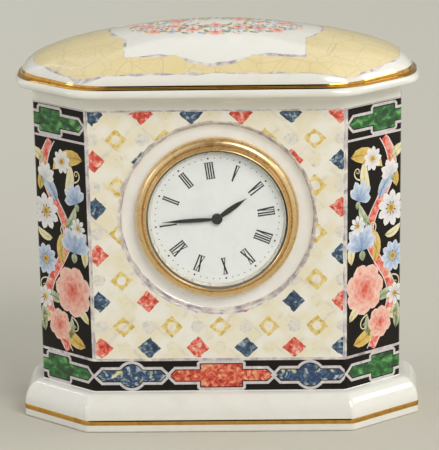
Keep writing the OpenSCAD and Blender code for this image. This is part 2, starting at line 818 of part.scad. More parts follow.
// Button cell with its smaller negative cap towards the front
module battery() {
    cap_t = 0.3;
    color("silver") in_insert(cell_at, hatch_floor_z) union() {
        pin(cell_r, cell_t - cap_t);
        pin(cell_r - 0.9, cell_t);
    }
}

// Push-in lid of the battery well, with the tray that holds the cell and a slot for a coin
module battery_hatch() {
    color("gainsboro") in_insert(cell_at) difference() {
        union() {
            translate([0, 0, cup_back_z - hatch_t]) disc(hatch_r, hatch_t);
            translate([0, 0, cup_back_z]) disc(tray_r, hatch_floor_z + tray_h - cup_back_z);
        }
        translate([0, 0, hatch_floor_z]) disc(tray_r - tray_wall, tray_h + over);
        translate([-coin_slot[0] / 2, -coin_slot[1] / 2, cup_back_z - hatch_t - over])
            cube([coin_slot[0], coin_slot[1], over + hatch_t / 2]);
    }
}

// Ribbed knob, stem and pinion that turn the minute wheel
module setting_knob() {
    knob_z = cup_back_z - gap - knob_t;
    rib_n = 30;
    pinion_z = plate_front_z + pinion_lift;
    rib_m = 2 * knob_r / (rib_n + 2 * tooth_form[1][1]);
    color("whitesmoke") in_insert(knob_at) union() {
        translate([0, 0, knob_z]) teeth(rib_n, rib_m, 0, knob_t);
        translate([0, 0, knob_z]) pin(stem_r, pinion_z - knob_z);
        translate([0, 0, pinion_z]) teeth(knob_n, minute_m, knob_first, pinion_h);
    }
}

china_case();
grip_ring();
cup();
bezel();
crystal();
dial_ring();
dial();
hour_hand();
minute_hand();
main_plate();
bridge();
cannon_pinion();
hour_wheel();
minute_wheel();
centre_wheel();
third_wheel();
seconds_wheel();
step_wheel();
rotor();
stator();
coil_core();
bobbin();
coil();
circuit_board();
chip();
quartz_can();
plus_contact();
minus_contact();
movement_screws();
battery();
battery_hatch();
setting_knob();
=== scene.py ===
# Looks of the china desk clock: an eight-sided porcelain case, transfer-printed and gilded, with a
# round quartz insert in its front. Sizes below are in millimetres, times mm.
import math

import bmesh
import bpy
from mathutils import Matrix, Vector, noise
from mathutils.bvhtree import BVHTree


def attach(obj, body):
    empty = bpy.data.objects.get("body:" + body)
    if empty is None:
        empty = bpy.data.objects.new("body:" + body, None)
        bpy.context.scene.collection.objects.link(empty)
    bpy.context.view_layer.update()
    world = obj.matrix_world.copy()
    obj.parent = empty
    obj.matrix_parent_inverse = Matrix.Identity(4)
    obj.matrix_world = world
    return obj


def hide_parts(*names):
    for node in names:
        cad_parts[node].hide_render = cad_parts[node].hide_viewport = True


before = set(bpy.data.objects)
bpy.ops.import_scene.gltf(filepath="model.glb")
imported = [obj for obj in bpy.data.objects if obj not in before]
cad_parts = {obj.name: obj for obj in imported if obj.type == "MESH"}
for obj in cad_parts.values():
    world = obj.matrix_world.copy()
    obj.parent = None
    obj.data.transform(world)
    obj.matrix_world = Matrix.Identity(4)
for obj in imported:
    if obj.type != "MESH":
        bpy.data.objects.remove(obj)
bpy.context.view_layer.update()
mm = 0.001

# The camera stands far off and a little above the clock, where the rings of the dial and the
# eight sides fall as they do in the photograph. Its lens is given in pixels of that picture.
focal_px, picture_high = 4095.1, 450
pitch, yaw, roll = math.radians(13.68), math.radians(-1.63), math.radians(-0.92)
looks_at = Vector((-0.03, 0, 53.31)) * mm
distance = 1173.6 * mm
ahead = Vector((math.sin(yaw) * math.cos(pitch), math.cos(yaw) * math.cos(pitch), -math.sin(pitch)))
level = Vector((math.cos(yaw), -math.sin(yaw), 0))
upward = level.cross(ahead)
right = math.cos(roll) * level + math.sin(roll) * upward
upward = math.cos(roll) * upward - math.sin(roll) * level
camera = bpy.data.objects.new("camera", bpy.data.cameras.new("camera"))
camera.data.lens = focal_px / picture_high * camera.data.sensor_width
turned_to = Matrix((right, upward, -ahead)).transposed().to_4x4()
camera.matrix_world = Matrix.Translation(looks_at - distance * ahead) @ turned_to
camera.data.clip_end = 20
scene = bpy.context.scene
scene.collection.objects.link(camera)
scene.camera = camera
scene.view_settings.view_transform = "Standard"


# The clock stands on a plain warm grey sweep: a floor that curves up into a backdrop, matt like
# seamless studio paper, so that it takes the soft shadow and shows nothing else. Sizes in metres.
front_y, back_y, bend_r, half_wide, backdrop_h = -3.0, 2.6, 0.5, 3.0, 3.0


def hue(code):
    """An sRGB hex colour as linear red, green, blue and alpha."""
    parts = [int(code[i:i + 2], 16) / 255 for i in (1, 3, 5)]
    return (*[c / 12.92 if c <= 0.04045 else ((c + 0.055) / 1.055) ** 2.4 for c in parts], 1)


def add(tree, kind, inputs=None, **settings):
    """Adds one node with its settings; each input takes a value, another node or a node's output."""
    node = tree.nodes.new(kind)
    for name, value in settings.items():
        setattr(node, name, value)
    for name, value in (inputs or {}).items():
        if isinstance(value, bpy.types.Node):
            value = next(output for output in value.outputs if output.enabled)
        if isinstance(value, bpy.types.NodeSocket):
            tree.links.new(value, node.inputs[name])
        else:
            node.inputs[name].default_value = value
    return node


def new_material(name):
    """An empty node material, and its tree."""
    material = bpy.data.materials.new(name)
    material.use_nodes = True
    material.node_tree.nodes.clear()
    return material, material.node_tree


def placed(name, mesh, material, body=None, smooth=True):
    """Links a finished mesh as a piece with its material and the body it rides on."""
    piece = bpy.data.objects.new(name, mesh)
    scene.collection.objects.link(piece)
    mesh.materials.clear()
    mesh.materials.append(material)
    for face in mesh.polygons:
        face.use_smooth = smooth
    if body:
        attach(piece, body)
    return piece


def quarter(steps, first=0):
    """Sine and cosine at even steps of a quarter turn."""
    turns = [math.pi / 2 * i / steps for i in range(first, steps + 1)]
    return [(math.sin(a), math.cos(a)) for a in turns]


# Uncoated paper scatters all light, so it has no gloss, and its pulp shows as a very faint mottle.
paper, tree = new_material("seamless_paper")
grain = add(tree, "ShaderNodeTexNoise", {"Scale": 3.0, "Detail": 2.0})
tone = add(tree, "ShaderNodeMix", {"Factor": grain, "A": hue("#CCC8BB"), "B": hue("#C7C4B8")},
           data_type="RGBA")
matt = add(tree, "ShaderNodeBsdfPrincipled", {"Base Color": tone, "Roughness": 0.9,
                                              "Specular IOR Level": 0.1})
add(tree, "ShaderNodeOutputMaterial", {"Surface": matt})
profile = [(front_y, 0), (back_y, 0)]
profile += [(back_y + bend_r * s, bend_r * (1 - c)) for s, c in quarter(9, 1)]
profile.append((back_y + bend_r, backdrop_h))
sweep = bmesh.new()
rows = [[sweep.verts.new((x, y, z)) for x in (-half_wide, half_wide)] for y, z in profile]
for near, far in zip(rows, rows[1:]):
    sweep.faces.new((near[0], near[1], far[1], far[0]))
sweep_mesh = bpy.data.meshes.new("paper_sweep")
sweep.to_mesh(sweep_mesh)
placed("paper_sweep", sweep_mesh, paper)

# Soft studio light in a pale room that is dark in front and overhead, as it is round a camera: a key
# panel in front to the right, weak panels at both sides, and a cool wash on the backdrop.
world = bpy.data.worlds.new("room")
world.use_nodes = True
scene.world = world
tree = world.node_tree
way = add(tree, "ShaderNodeSeparateXYZ", {"Vector": add(tree, "ShaderNodeTexCoord").outputs["Generated"]})
sideways = add(tree, "ShaderNodeMath", {0: way.outputs["X"]}, operation="ABSOLUTE")
sideways = add(tree, "ShaderNodeMapRange", {"Value": sideways, "From Min": 0.06, "From Max": 0.35})
behind = add(tree, "ShaderNodeMapRange", {"Value": way.outputs["Y"], "From Min": 0.1, "From Max": 0.6})
lit = add(tree, "ShaderNodeMath", {0: sideways, 1: behind}, operation="MAXIMUM")
lit = add(tree, "ShaderNodeMix", {"Factor": lit, "A": hue("#3A3733"), "B": hue("#F2F3F2")}, data_type="RGBA")
tree.links.new(lit.outputs["Result"], tree.nodes["Background"].inputs["Color"])
tree.nodes["Background"].inputs["Strength"].default_value = 0.9
clock_middle, warm_white, panel_shape = (0, 0, 0.06), (1, 0.98, 0.95), 0.8
for name, place, aim, size, watts, colour in (
        ("key_panel", (0.6, -1.0, 1.0), clock_middle, 0.8, 9.6, warm_white),
        ("side_panel", (1.3, 0.1, 0.8), clock_middle, 0.45, 3.2, warm_white),
        ("left_panel", (-1.25, -0.3, 0.55), clock_middle, 0.3, 0.9, (1, 1, 1)),
        ("backdrop_wash", (-0.6, 0.5, 0.7), (-0.35, 1.2, 0.3), 0.4, 3.2, (0.8, 0.9, 1.0))):
    lamp = bpy.data.objects.new(name, bpy.data.lights.new(name, "AREA"))
    lamp.data.shape = "RECTANGLE"
    lamp.data.size, lamp.data.size_y = size, size * panel_shape
    lamp.data.energy, lamp.data.color = watts, colour
    lamp.location = place
    lamp.rotation_euler = (Vector(aim) - Vector(place)).to_track_quat("-Z", "Y").to_euler()
    scene.collection.objects.link(lamp)

# The case is slip-cast bone china, hollow and about 3.5 mm thick, glazed all over. Its rings are
# octagons that stand out from the body by more or less, and its top is a pillow that turns from
# the octagon into an ellipse as it rises. The pillow is kept 0.15 mm low for the painting on it.
body_w, body_d, corner_cut, side_lean = 102.0, 46.4, 15.4, 1.1
plinth_h, plinth_out, plinth_edge, foot_in, fillet = 10.5, 5.4, 3.5, 0.6, 0.4
cove_z, rim_z, top_z, cove_out, top_out, rim_bulge = 92.1, 96.3, 99.2, 5.0, 4.5, 1.43
edge_r, top_edge_r, dome_h, crown_power, shoulder_power = 2.0, 18.0, 14.2 - 0.15, 1.6, 0.5
wall, foot_w, foot_recess, vent_r = 3.5, 4.5, 1.2, 3.0
opening_h, dish_r, seat_r, dish_depth, bore_r, bore_l, collar_r = 61.0, 27.3, 24.5, 2.0, 21.0, 6.5, 27.5
seat_y = dish_depth - body_d / 2
# The round corners leave each side flat over at least side_flat; flat_points are the points that
# lie between the corners on each of the eight sides.
side_flat, flat_points = 1.0, (2, 14, 2, 6, 2, 14, 2, 6)


def share(value, low, high):
    """Where a value lies between low and high, held to 0 and 1."""
    return min(max((value - low) / (high - low), 0), 1)


def corner_centres(out, z):
    """Centres of the eight round corners of the ring at a height, and their radius."""
    softest = out + (body_d / 2 - corner_cut - side_flat / 2) / (math.sqrt(2) - 1)
    r = min(edge_r + (top_edge_r - edge_r) * share(z, cove_z, top_z), softest)
    lean = side_lean * min(share(z, plinth_h, cove_z), 1 - share(z, cove_z, rim_z))
    x, y = body_w / 2 + lean + out - r, body_d / 2 + out - r
    c = corner_cut + (out - r) * (2 - math.sqrt(2))
    half = [(x, y - c), (x - c, y), (c - x, y), (-x, y - c)]
    return [Vector(p) for p in half] + [-Vector(p) for p in half], r


def case_ring(out, z, arc=8, fine=1):
    """Points of one ring of the case, counterclockwise from the right side."""
    centres, r = corner_centres(out, z)
    ring = []
    for k in range(8):
        turns = [math.radians(45 * (k + j / arc)) for j in range(arc + 1)]
        ring += [centres[k] + r * Vector((math.cos(a), math.sin(a))) for a in turns]
        after = centres[(k + 1) % 8] + r * Vector((math.cos(turns[-1]), math.sin(turns[-1])))
        count = flat_points[k] * fine
        ring += [ring[-1].lerp(after, j / (count + 1)) for j in range(1, count + 1)]
    return [Vector((p.x, p.y, z)) for p in ring]


def top_ring(out, foot, t):
    """One ring of the pillow top at a share t of its spread."""
    x, y, m = body_w / 2 + out, body_d / 2 + out, 1 - t * t
    rise = foot + dome_h * (1 - t ** crown_power) ** shoulder_power
    ring = []
    for p in case_ring(out, top_z):
        a = math.atan2(p.y / y, p.x / x)
        ring.append(Vector((t * ((1 - m) * p.x + m * x * math.cos(a)),
                            t * ((1 - m) * p.y + m * y * math.sin(a)), rise)))
    return ring


def skinned(rings):
    """A mesh through rings that have the same number of points, capped to a middle point."""
    bm = bmesh.new()
    rows = [[bm.verts.new(p * mm) for p in ring] for ring in rings]
    count = len(rows[0])
    for low, high in zip(rows, rows[1:]):
        for i in range(count):
            bm.faces.new((low[i], low[(i + 1) % count], high[(i + 1) % count], high[i]))
    for row, turn in ((rows[0], -1), (rows[-1], 1)):
        middle = bm.verts.new((0, 0, row[0].co.z))
        for i in range(count):
            bm.faces.new((row[i], row[(i + 1) % count], middle)[::turn])
    return bm


def to_object(name, bm):
    """A linked object of a finished bmesh."""
    mesh = bpy.data.meshes.new(name)
    bm.normal_update()
    bm.to_mesh(mesh)
    bm.free()
    thing = bpy.data.objects.new(name, mesh)
    scene.collection.objects.link(thing)
    return thing


def applied(thing, name):
    """The thing's mesh with its modifiers in it; the thing itself goes."""
    graph = bpy.context.evaluated_depsgraph_get()
    mesh = bpy.data.meshes.new_from_object(thing.evaluated_get(graph), depsgraph=graph)
    mesh.name = name
    bpy.data.objects.remove(thing)
    return mesh


def turned(name, profile, segments=160):
    """A solid turned about the dial's axis, from (radius, height above the seat) points. A profile
    that ends on the axis is closed there; any other is a ring."""
    bm = bmesh.new()
    on_axis = profile[0][0] == 0
    rows = []
    for r, h in profile:
        if r == 0:
            rows.append([bm.verts.new((0, (seat_y - h) * mm, opening_h * mm))])
            continue
        rows.append([bm.verts.new((r * math.cos(a) * mm, (seat_y - h) * mm,
                                   (opening_h + r * math.sin(a)) * mm))
                     for a in [2 * math.pi * i / segments for i in range(segments)]])
    pairs = list(zip(rows, rows[1:])) + ([] if on_axis else [(rows[-1], rows[0])])
    for low, high in pairs:
        for i in range(segments):
            j = (i + 1) % segments
            corners = [low[0]] if len(low) == 1 else [low[i], low[j]]
            corners += [high[0]] if len(high) == 1 else [high[j], high[i]]
            bm.faces.new(corners)
    bmesh.ops.recalc_face_normals(bm, faces=bm.faces)
    return to_object(name, bm)


outer = [(plinth_out - foot_in, 0.0)]
outer += [(plinth_out - foot_in * (1 - s), foot_in * (1 - c)) for s, c in quarter(3, 1)]
outer += [(fillet + (plinth_out - fillet) * c, plinth_edge + (plinth_h - plinth_edge) * s)
          for s, c in quarter(14)]
outer += [(fillet * (1 - s), plinth_h + fillet * (1 - c)) for s, c in quarter(3, 1)]
outer += [(cove_out * (1 - c), cove_z + (rim_z - cove_z) * s) for s, c in quarter(12)]
for i in range(1, 13):
    a = math.pi * i / 12
    s = (1 - math.cos(a)) / 2
    outer.append((cove_out + (top_out - cove_out) * s + rim_bulge * math.sin(a), rim_z + (top_z - rim_z) * s))
spread = [1 - 0.98 * (i / 30) ** 2 for i in range(1, 31)]
shell = skinned([case_ring(e, z) for e, z in outer] + [top_ring(top_out, top_z, t) for t in spread])
inside = [case_ring(plinth_out - wall, foot_recess + wall), case_ring(-wall, plinth_h + wall / 2),
          case_ring(-wall, cove_z + (rim_z - cove_z) / 2.5)]
inside += [top_ring(top_out - wall, top_z - wall, t) for t in (1, 0.95, 0.85, 0.7, 0.5, 0.25)]
recess = skinned([case_ring(plinth_out - foot_in - foot_w, z) for z in (-1, foot_recess)])


def carve(thing, cutter):
    """Takes the cutter out of the thing."""
    change = thing.modifiers.new("carve", "BOOLEAN")
    change.operation, change.solver, change.object = "DIFFERENCE", "MANIFOLD", cutter
    mesh = applied(thing, thing.name)
    bpy.data.objects.remove(cutter)
    carved = bpy.data.objects.new(mesh.name, mesh)
    scene.collection.objects.link(carved)
    return carved


collar = turned("collar", [(0, 3), (collar_r, 3), (collar_r, -bore_l), (0, -bore_l)], 96)
room = carve(to_object("room", skinned(inside)), collar)
lip = 0.45
dish = [(0, 0), (seat_r, 0)]
dish += [(dish_r - (dish_r - seat_r) * (1 - s), (dish_depth - lip) * (1 - c)) for s, c in quarter(12, 1)]
dish += [(dish_r + lip * (1 - c), dish_depth - lip * (1 - s)) for s, c in quarter(6, 1)]
dish += [(dish_r + lip, dish_depth + 1), (0, dish_depth + 1)]
china_body = to_object("china_case_fine", shell)
vent = bmesh.new()
bmesh.ops.create_cone(vent, cap_ends=True, segments=48, radius1=vent_r * mm, radius2=vent_r * mm,
                      depth=20 * mm)
for cutter in (room, to_object("recess", recess), to_object("vent", vent),
               turned("bore", [(0, 3), (bore_r, 3), (bore_r, -bore_l - 1), (0, -bore_l - 1)]),
               turned("dish", dish)):
    china_body = carve(china_body, cutter)


def finish(name, stops, patch_mm, rough, metallic=0.0, relief_mm=0.0, coat=0.0, tinted=0.0, gloss=0.5,
           stretch=(1, 1, 1)):
    """A surface whose colour runs through the stops and whose roughness varies, in patches of patch_mm.
    tinted is the share of the colour that comes from the piece's own tint, and relief_mm the height
    of its unevenness."""
    material, tree = new_material(name)
    place = add(tree, "ShaderNodeTexCoord").outputs["Object"]
    place = add(tree, "ShaderNodeMapping", {"Vector": place, "Scale": stretch})
    patches = add(tree, "ShaderNodeTexNoise", {"Vector": place, "Scale": 1 / (patch_mm * mm), "Detail": 4.0,
                                               "Distortion": 0.6})
    amount = add(tree, "ShaderNodeMapRange", {"Value": patches, "From Min": 0.3, "From Max": 0.7})
    if tinted:
        tint = add(tree, "ShaderNodeAttribute", attribute_name="tint").outputs["Fac"]
        amount = add(tree, "ShaderNodeMix", {"Factor": tinted, "A": amount, "B": tint})
    ramp = add(tree, "ShaderNodeValToRGB", {"Fac": amount})
    while len(ramp.color_ramp.elements) < len(stops):
        ramp.color_ramp.elements.new(0.5)
    for i, stop in enumerate(stops):
        ramp.color_ramp.elements[i].position = i / (len(stops) - 1)
        ramp.color_ramp.elements[i].color = hue(stop)
    worn = add(tree, "ShaderNodeMapRange", {"Value": patches, "To Min": rough[0], "To Max": rough[1]})
    body = add(tree, "ShaderNodeBsdfPrincipled", {
        "Base Color": ramp, "Roughness": worn, "Metallic": metallic, "Coat Weight": coat,
        "Coat Roughness": 0.04, "Specular IOR Level": gloss})
    if relief_mm:
        uneven = add(tree, "ShaderNodeBump", {"Height": patches, "Distance": relief_mm * mm})
        tree.links.new(uneven.outputs["Normal"], body.inputs["Normal"])
    add(tree, "ShaderNodeOutputMaterial", {"Surface": body})
    return material


# Porcelain under a thick clear glaze: warm white and very smooth, so that it mirrors the lamps, with
# a faint unevenness that bends its reflections.
white_china = finish("glazed_bone_china", ("#E6E4DB", "#EBE9E1", "#E8E5DA"), 9, (0.07, 0.12),
                     relief_mm=0.02, coat=0.5)
smooth_by = math.radians(35)
case_mesh = china_body.data
case_mesh.set_sharp_from_angle(angle=smooth_by)
bpy.data.objects.remove(china_body)
china = placed("china_case_fine", case_mesh, white_china, "case")
even = china.modifiers.new("even_normals", "WEIGHTED_NORMAL")
even.keep_sharp = True
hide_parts("china_case")
case_tree = BVHTree.FromPolygons([v.co[:] for v in case_mesh.vertices],
                                 [p.vertices[:] for p in case_mesh.polygons])

# Bright gold is brushed on over the glaze and fired: a band round the upright edge of the plinth,
# and a line on the edge where the rim turns into the top. It is thin, even and polished.
gold_low, gold_high, gold_t = 2.15, 3.6, 0.12
line_middle_x, line_end_x = 34, 55
# Every layer on the china has its underside this far below the surface.
sunk_h = -0.05


def skin(bm, rows, top):
    """A thin closed layer over rows of points that rise row by row and run counterclockwise; top is
    its height, or a list with each row's."""
    count = len(rows[0])
    tops = top if isinstance(top, list) else [top] * len(rows)
    layers = []
    for heights in ([sunk_h] * len(rows), tops):
        layer = []
        for i, (row, height) in enumerate(zip(rows, heights)):
            below, above = rows[max(i - 1, 0)], rows[min(i + 1, len(rows) - 1)]
            normals = [(row[(j + 1) % count] - row[j - 1]).cross(above[j] - below[j]).normalized()
                       for j in range(count)]
            layer.append([bm.verts.new((p + n * height) * mm) for p, n in zip(row, normals)])
        layers.append(layer)
    under, over = layers
    strips = list(zip(over, over[1:])) + list(zip(under, under[1:]))
    for low, high in strips + [(under[0], over[0]), (under[-1], over[-1])]:
        for j in range(count):
            bm.faces.new((low[j], low[(j + 1) % count], high[(j + 1) % count], high[j]))
    bmesh.ops.recalc_face_normals(bm, faces=bm.faces)


def made(name, bm, material, body="case", smooth=True):
    """A finished piece of a bmesh; what lies on the china needs no body or slot named."""
    mesh = bpy.data.meshes.new(name)
    bm.to_mesh(mesh)
    bm.free()
    mesh.set_sharp_from_angle(angle=smooth_by)
    return placed(name, mesh, material, body, smooth)


gilding = bmesh.new()
across = [0, 0.12, 0.3, 0.5, 0.7, 0.88, 1]
rounded = [0.015 + gold_t * math.sin(math.pi * s) ** 0.7 for s in across]
skin(gilding, [case_ring(plinth_out, gold_low + (gold_high - gold_low) * s) for s in across], rounded)
edge_rows = [case_ring(*step) for step in outer[-4:]]
# The line's rows climb the top by these heights, in the middle of the case and at its ends.
for rises in ((0.25, 0.4), (0.5, 0.85), (0.75, 1.35)):
    shares = [(1 - (rise / dome_h) ** (1 / shoulder_power)) ** (1 / crown_power) for rise in rises]
    narrow, wide = (top_ring(top_out, top_z, t) for t in shares)
    edge_rows.append([p.lerp(q, share(abs(p.x), line_middle_x, line_end_x)) for p, q in zip(narrow, wide)])
skin(gilding, edge_rows, rounded)
# Fired gold is a true metal: it mirrors the room in deep yellow, dark where the room is dark.
burnished = finish("fired_bright_gold", ("#C08A3C", "#D9A854", "#CC9846"), 3, (0.05, 0.12), metallic=1.0)
made("gilding", gilding, burnished)

# A whiter layer of glaze is laid in the dish round the insert: painted light, paler than the china on the
# walls to stand in for the brightness the dish catches; it ends where the bezel rests, and at the dish's lip.
# Its gloss is that of the china.
bezel_rest_r = 23.0
around_dial = [-2 * math.pi * i / 180 for i in range(180)]
dish_light_layer = bmesh.new()
skin(dish_light_layer, [[Vector((r * math.cos(a), seat_y - h, opening_h + r * math.sin(a))) for a in around_dial]
            for r, h in [(bezel_rest_r, 0)] + dish[1:20]], 0.02)
# Painted light: these whites are lighter than the china's own colour, for the light on the dish.
painted_light_white = finish("pooled_clear_glaze", ("#F6F5F0", "#FAF9F5", "#F4F2EB"), 9, (0.06, 0.1), coat=0.5)
made("dish_glaze", dish_light_layer, painted_light_white)

# The front and the back are printed with a cream ground under the glaze, up to the middle of the
# round corners; the front's stops at the dish. Faint lilac veins cross it as a slanted trellis.
panel_foot, panel_head, front_flat, corner_half = 20.2, cove_z, 34.77, edge_r * math.pi / 8
lean_slope = side_lean / (cove_z - plinth_h)


def on_wall(k, u, z, h):
    """The point of wall k, counted from the front towards the right, at u from its middle, in metres."""
    centres, r = corner_centres(0, z)
    a = math.radians(45 * k - 90)
    out, along = Vector((math.cos(a), math.sin(a))), Vector((-math.sin(a), math.cos(a)))
    start, end = centres[(k + 5) % 8], centres[(k + 6) % 8]
    half = (end - start).length / 2
    if abs(u) <= half:
        p = (start + end) / 2 + u * along + (r + h) * out
    else:
        b = a + math.copysign((abs(u) - half) / r, u)
        p = (end if u > 0 else start) + (r + h) * Vector((math.cos(b), math.sin(b)))
    return Vector((p.x, p.y, z)) * mm


def edge_at(z):
    """Half the width of the front at a height, to the middle of its round corners."""
    return front_flat + (z - plinth_h) * lean_slope + corner_half


def flat_print():
    """An empty flat pattern, drawn in (u, v) with its height as z; each of its points has a tint."""
    flat = bmesh.new()
    flat.verts.layers.float.new("tint")
    return flat


def slab(flat, outline, top, hole=None, tint=0.0, sunk=sunk_h):
    """Adds a flat shape with this outline, as high as top; a hole has as many points as the outline."""
    tints = flat.verts.layers.float["tint"]
    count = len(outline)
    layers = []
    for height in (sunk, top):
        layer = [[flat.verts.new((*p, height)) for p in loop] for loop in (outline, hole or [])]
        for vert in layer[0] + layer[1]:
            vert[tints] = tint
        layers.append(layer)
    for rim, gap in layers:
        if hole:
            for i in range(count):
                flat.faces.new((rim[i], rim[(i + 1) % count], gap[(i + 1) % count], gap[i]))
        else:
            bmesh.ops.triangulate(flat, faces=[flat.faces.new(rim)])
    for low, high in zip(*layers):
        for i in range(len(low)):
            flat.faces.new((low[i], low[(i + 1) % count], high[(i + 1) % count], high[i]))


def bent(flat, onto, cuts=()):
    """Cuts a flat pattern along lines, each a point and a normal, and lays it onto a surface."""
    bmesh.ops.triangulate(flat, faces=[f for f in flat.faces if len(f.verts) > 4])
    for point, normal in cuts:
        bmesh.ops.bisect_plane(flat, geom=flat.verts[:] + flat.edges[:] + flat.faces[:], dist=1e-5,
                               plane_co=(*point, 0), plane_no=(*normal, 0))
    for vert in flat.verts:
        vert.co = onto(*vert.co)
    bmesh.ops.recalc_face_normals(flat, faces=flat.faces)
    return flat


def added(whole, part):
    """Adds one bmesh to another, and frees it."""
    mesh = bpy.data.meshes.new("part")
    part.to_mesh(mesh)
    part.free()
    whole.from_mesh(mesh)
    bpy.data.meshes.remove(mesh)


front_cuts = []
for side in (-1, 1):
    for step in (0, 0.5):
        at = side * (front_flat + step * corner_half)
        front_cuts.append(((at, plinth_h), (1, -side * lean_slope)))
panel_edge = [(-1 + 2 * i / 24, 0) for i in range(24)] + [(1, i / 24) for i in range(24)]
panel_edge += [(-u, 1 - v) for u, v in panel_edge]
panel_edge = [(u, panel_foot + v * (panel_head - panel_foot)) for u, v in panel_edge]
panel_edge = [(u * edge_at(z), z) for u, z in panel_edge]


def on_panel(whole, flat, k):
    """Lays a flat pattern on the front (wall 0) or the back (wall 4) and adds it to the whole."""
    added(whole, bent(flat, lambda u, v, h: on_wall(k, u, v, h), front_cuts))


def round_hole(outline, r):
    """A circle round the dial's axis, with a point for each of the outline's."""
    aims = [math.atan2(v - opening_h, u) for u, v in outline]
    return [(r * math.cos(a), opening_h + r * math.sin(a)) for a in aims]


ground_hole_r = dish_r + lip + 0.05
ground = bmesh.new()
for k, hole in ((0, round_hole(panel_edge, ground_hole_r)), (4, None)):
    flat = flat_print()
    slab(flat, panel_edge, 0.03, hole)
    on_panel(ground, flat, k)
# Cream ink fired under clear glaze: it clouds softly from white to straw, and stays as glossy as the
# bare china. The lilac veins lie in the straw patches and fade out in the white ones.
vein_pitch, vein_wander, vein_core, vein_edge = 6.8 * mm, 3 * mm, 0.2 * mm, 0.9 * mm
cream, tree = new_material("cream_print_under_glaze")
place = add(tree, "ShaderNodeTexCoord").outputs["Object"]
cloud = add(tree, "ShaderNodeTexNoise", {"Vector": place, "Scale": 1 / (5 * mm), "Detail": 3.0})
patches = add(tree, "ShaderNodeMapRange", {"Value": cloud, "From Min": 0.36, "From Max": 0.64})
tone = add(tree, "ShaderNodeMix", {"Factor": patches, "A": hue("#F3EFE4"), "B": hue("#EEE4C6")},
           data_type="RGBA")
split = add(tree, "ShaderNodeSeparateXYZ", {"Vector": place})
wander = add(tree, "ShaderNodeTexNoise", {"Vector": place, "Scale": 1 / (2 * mm), "Detail": 3.0})
veins = []
for slant in ("ADD", "SUBTRACT"):
    line = add(tree, "ShaderNodeMath", {0: split.outputs["X"], 1: split.outputs["Z"]}, operation=slant)
    line = add(tree, "ShaderNodeMath", {0: wander, 1: vein_wander, 2: line}, operation="MULTIPLY_ADD")
    line = add(tree, "ShaderNodeMath", {0: line, 1: vein_pitch}, operation="PINGPONG")
    veins.append(add(tree, "ShaderNodeMapRange", {"Value": line, "From Min": vein_core,
                                                  "From Max": vein_edge, "To Min": 1.0, "To Max": 0.0}))
either = add(tree, "ShaderNodeMath", {0: veins[1], 1: veins[0]}, operation="MAXIMUM")
broken = add(tree, "ShaderNodeMapRange", {"Value": cloud, "From Min": 0.45, "From Max": 0.65, "To Max": 0.55})
shown = add(tree, "ShaderNodeMath", {0: either, 1: broken}, operation="MULTIPLY")
veined = add(tree, "ShaderNodeMix", {"Factor": shown, "A": tone, "B": hue("#CDC6CD")}, data_type="RGBA")
body = add(tree, "ShaderNodeBsdfPrincipled", {"Base Color": veined, "Roughness": 0.12, "Coat Weight": 0.4,
                                              "Coat Roughness": 0.04})
add(tree, "ShaderNodeOutputMaterial", {"Surface": body})
made("cream_ground", ground, cream)

# The diaper of the panels: marbled red and blue lozenges by turns, open yellow ones between them
# and faint smudges, printed as transfers with uneven edges and trimmed by the panel and the dish.
tile_half, open_half, open_inner, smudge_r = 3.3, 3.15, 1.35, 1.9
column_pitch, row_pitch, first_column, first_row = 13.56, 13.54, -33.8, 23.3
open_column, open_row = -27.4, 29.5


def ngon(corners, r, per_side=5):
    """The outline of a regular shape with corners, each side cut into short pieces."""
    aims = [2 * math.pi * i / corners for i in range(corners + 1)]
    tips = [Vector((r * math.cos(a), r * math.sin(a))) for a in aims]
    return [near.lerp(far, j / per_side) for near, far in zip(tips, tips[1:]) for j in range(per_side)]


def hidden(name, flat):
    """A flat pattern as an object for a node tree to use."""
    mesh = bpy.data.meshes.new(name)
    bmesh.ops.recalc_face_normals(flat, faces=flat.faces)
    flat.to_mesh(mesh)
    flat.free()
    return bpy.data.objects.new(name, mesh)


def node_tree(name, inputs):
    """A geometry tree with these inputs, name to (kind of socket, value), and the inputs' sockets."""
    tree = bpy.data.node_groups.new(name, "GeometryNodeTree")
    for socket, (kind, value) in inputs.items():
        made_socket = tree.interface.new_socket(socket, in_out="INPUT", socket_type="NodeSocket" + kind)
        if value is not None:
            made_socket.default_value = value
    tree.interface.new_socket("Geometry", in_out="OUTPUT", socket_type="NodeSocketGeometry")
    return tree, add(tree, "NodeGroupInput").outputs


def grown(tree, values):
    """The plain mesh that a tree makes from these values of its inputs."""
    carrier = bpy.data.objects.new("carrier", bpy.data.meshes.new("carrier"))
    scene.collection.objects.link(carrier)
    change = carrier.modifiers.new("grown", "NODES")
    change.node_group = tree
    for item in tree.interface.items_tree:
        if item.in_out == "INPUT" and item.name in values:
            change[item.identifier] = values[item.name]
    return applied(carrier, tree.name)


diaper, given = node_tree("lozenge_diaper", {
    "Tile": ("Object", None), "Panel": ("Object", None), "Columns": ("Int", 6), "Rows": ("Int", 6),
    "Column Pitch": ("Float", column_pitch), "Row Pitch": ("Float", row_pitch),
    "First Column": ("Float", first_column), "First Row": ("Float", first_row), "Every": ("Int", 2),
    "Which": ("Int", 0), "Wobble": ("Float", 0.9), "Seed": ("Int", 1), "Print": ("Material", None)})
size, middle = {}, {}
for axis, count, pitch, first in (("X", "Columns", "Column Pitch", "First Column"),
                                  ("Y", "Rows", "Row Pitch", "First Row")):
    gaps = add(diaper, "ShaderNodeMath", {0: given[count], 1: 1}, operation="SUBTRACT")
    size[axis] = add(diaper, "ShaderNodeMath", {0: gaps, 1: given[pitch]}, operation="MULTIPLY")
    middle[axis] = add(diaper, "ShaderNodeMath", {0: size[axis], 1: 0.5, 2: given[first]},
                       operation="MULTIPLY_ADD")
grid = add(diaper, "GeometryNodeMeshGrid", {"Size X": size["X"], "Size Y": size["Y"],
                                            "Vertices X": given["Columns"], "Vertices Y": given["Rows"]})
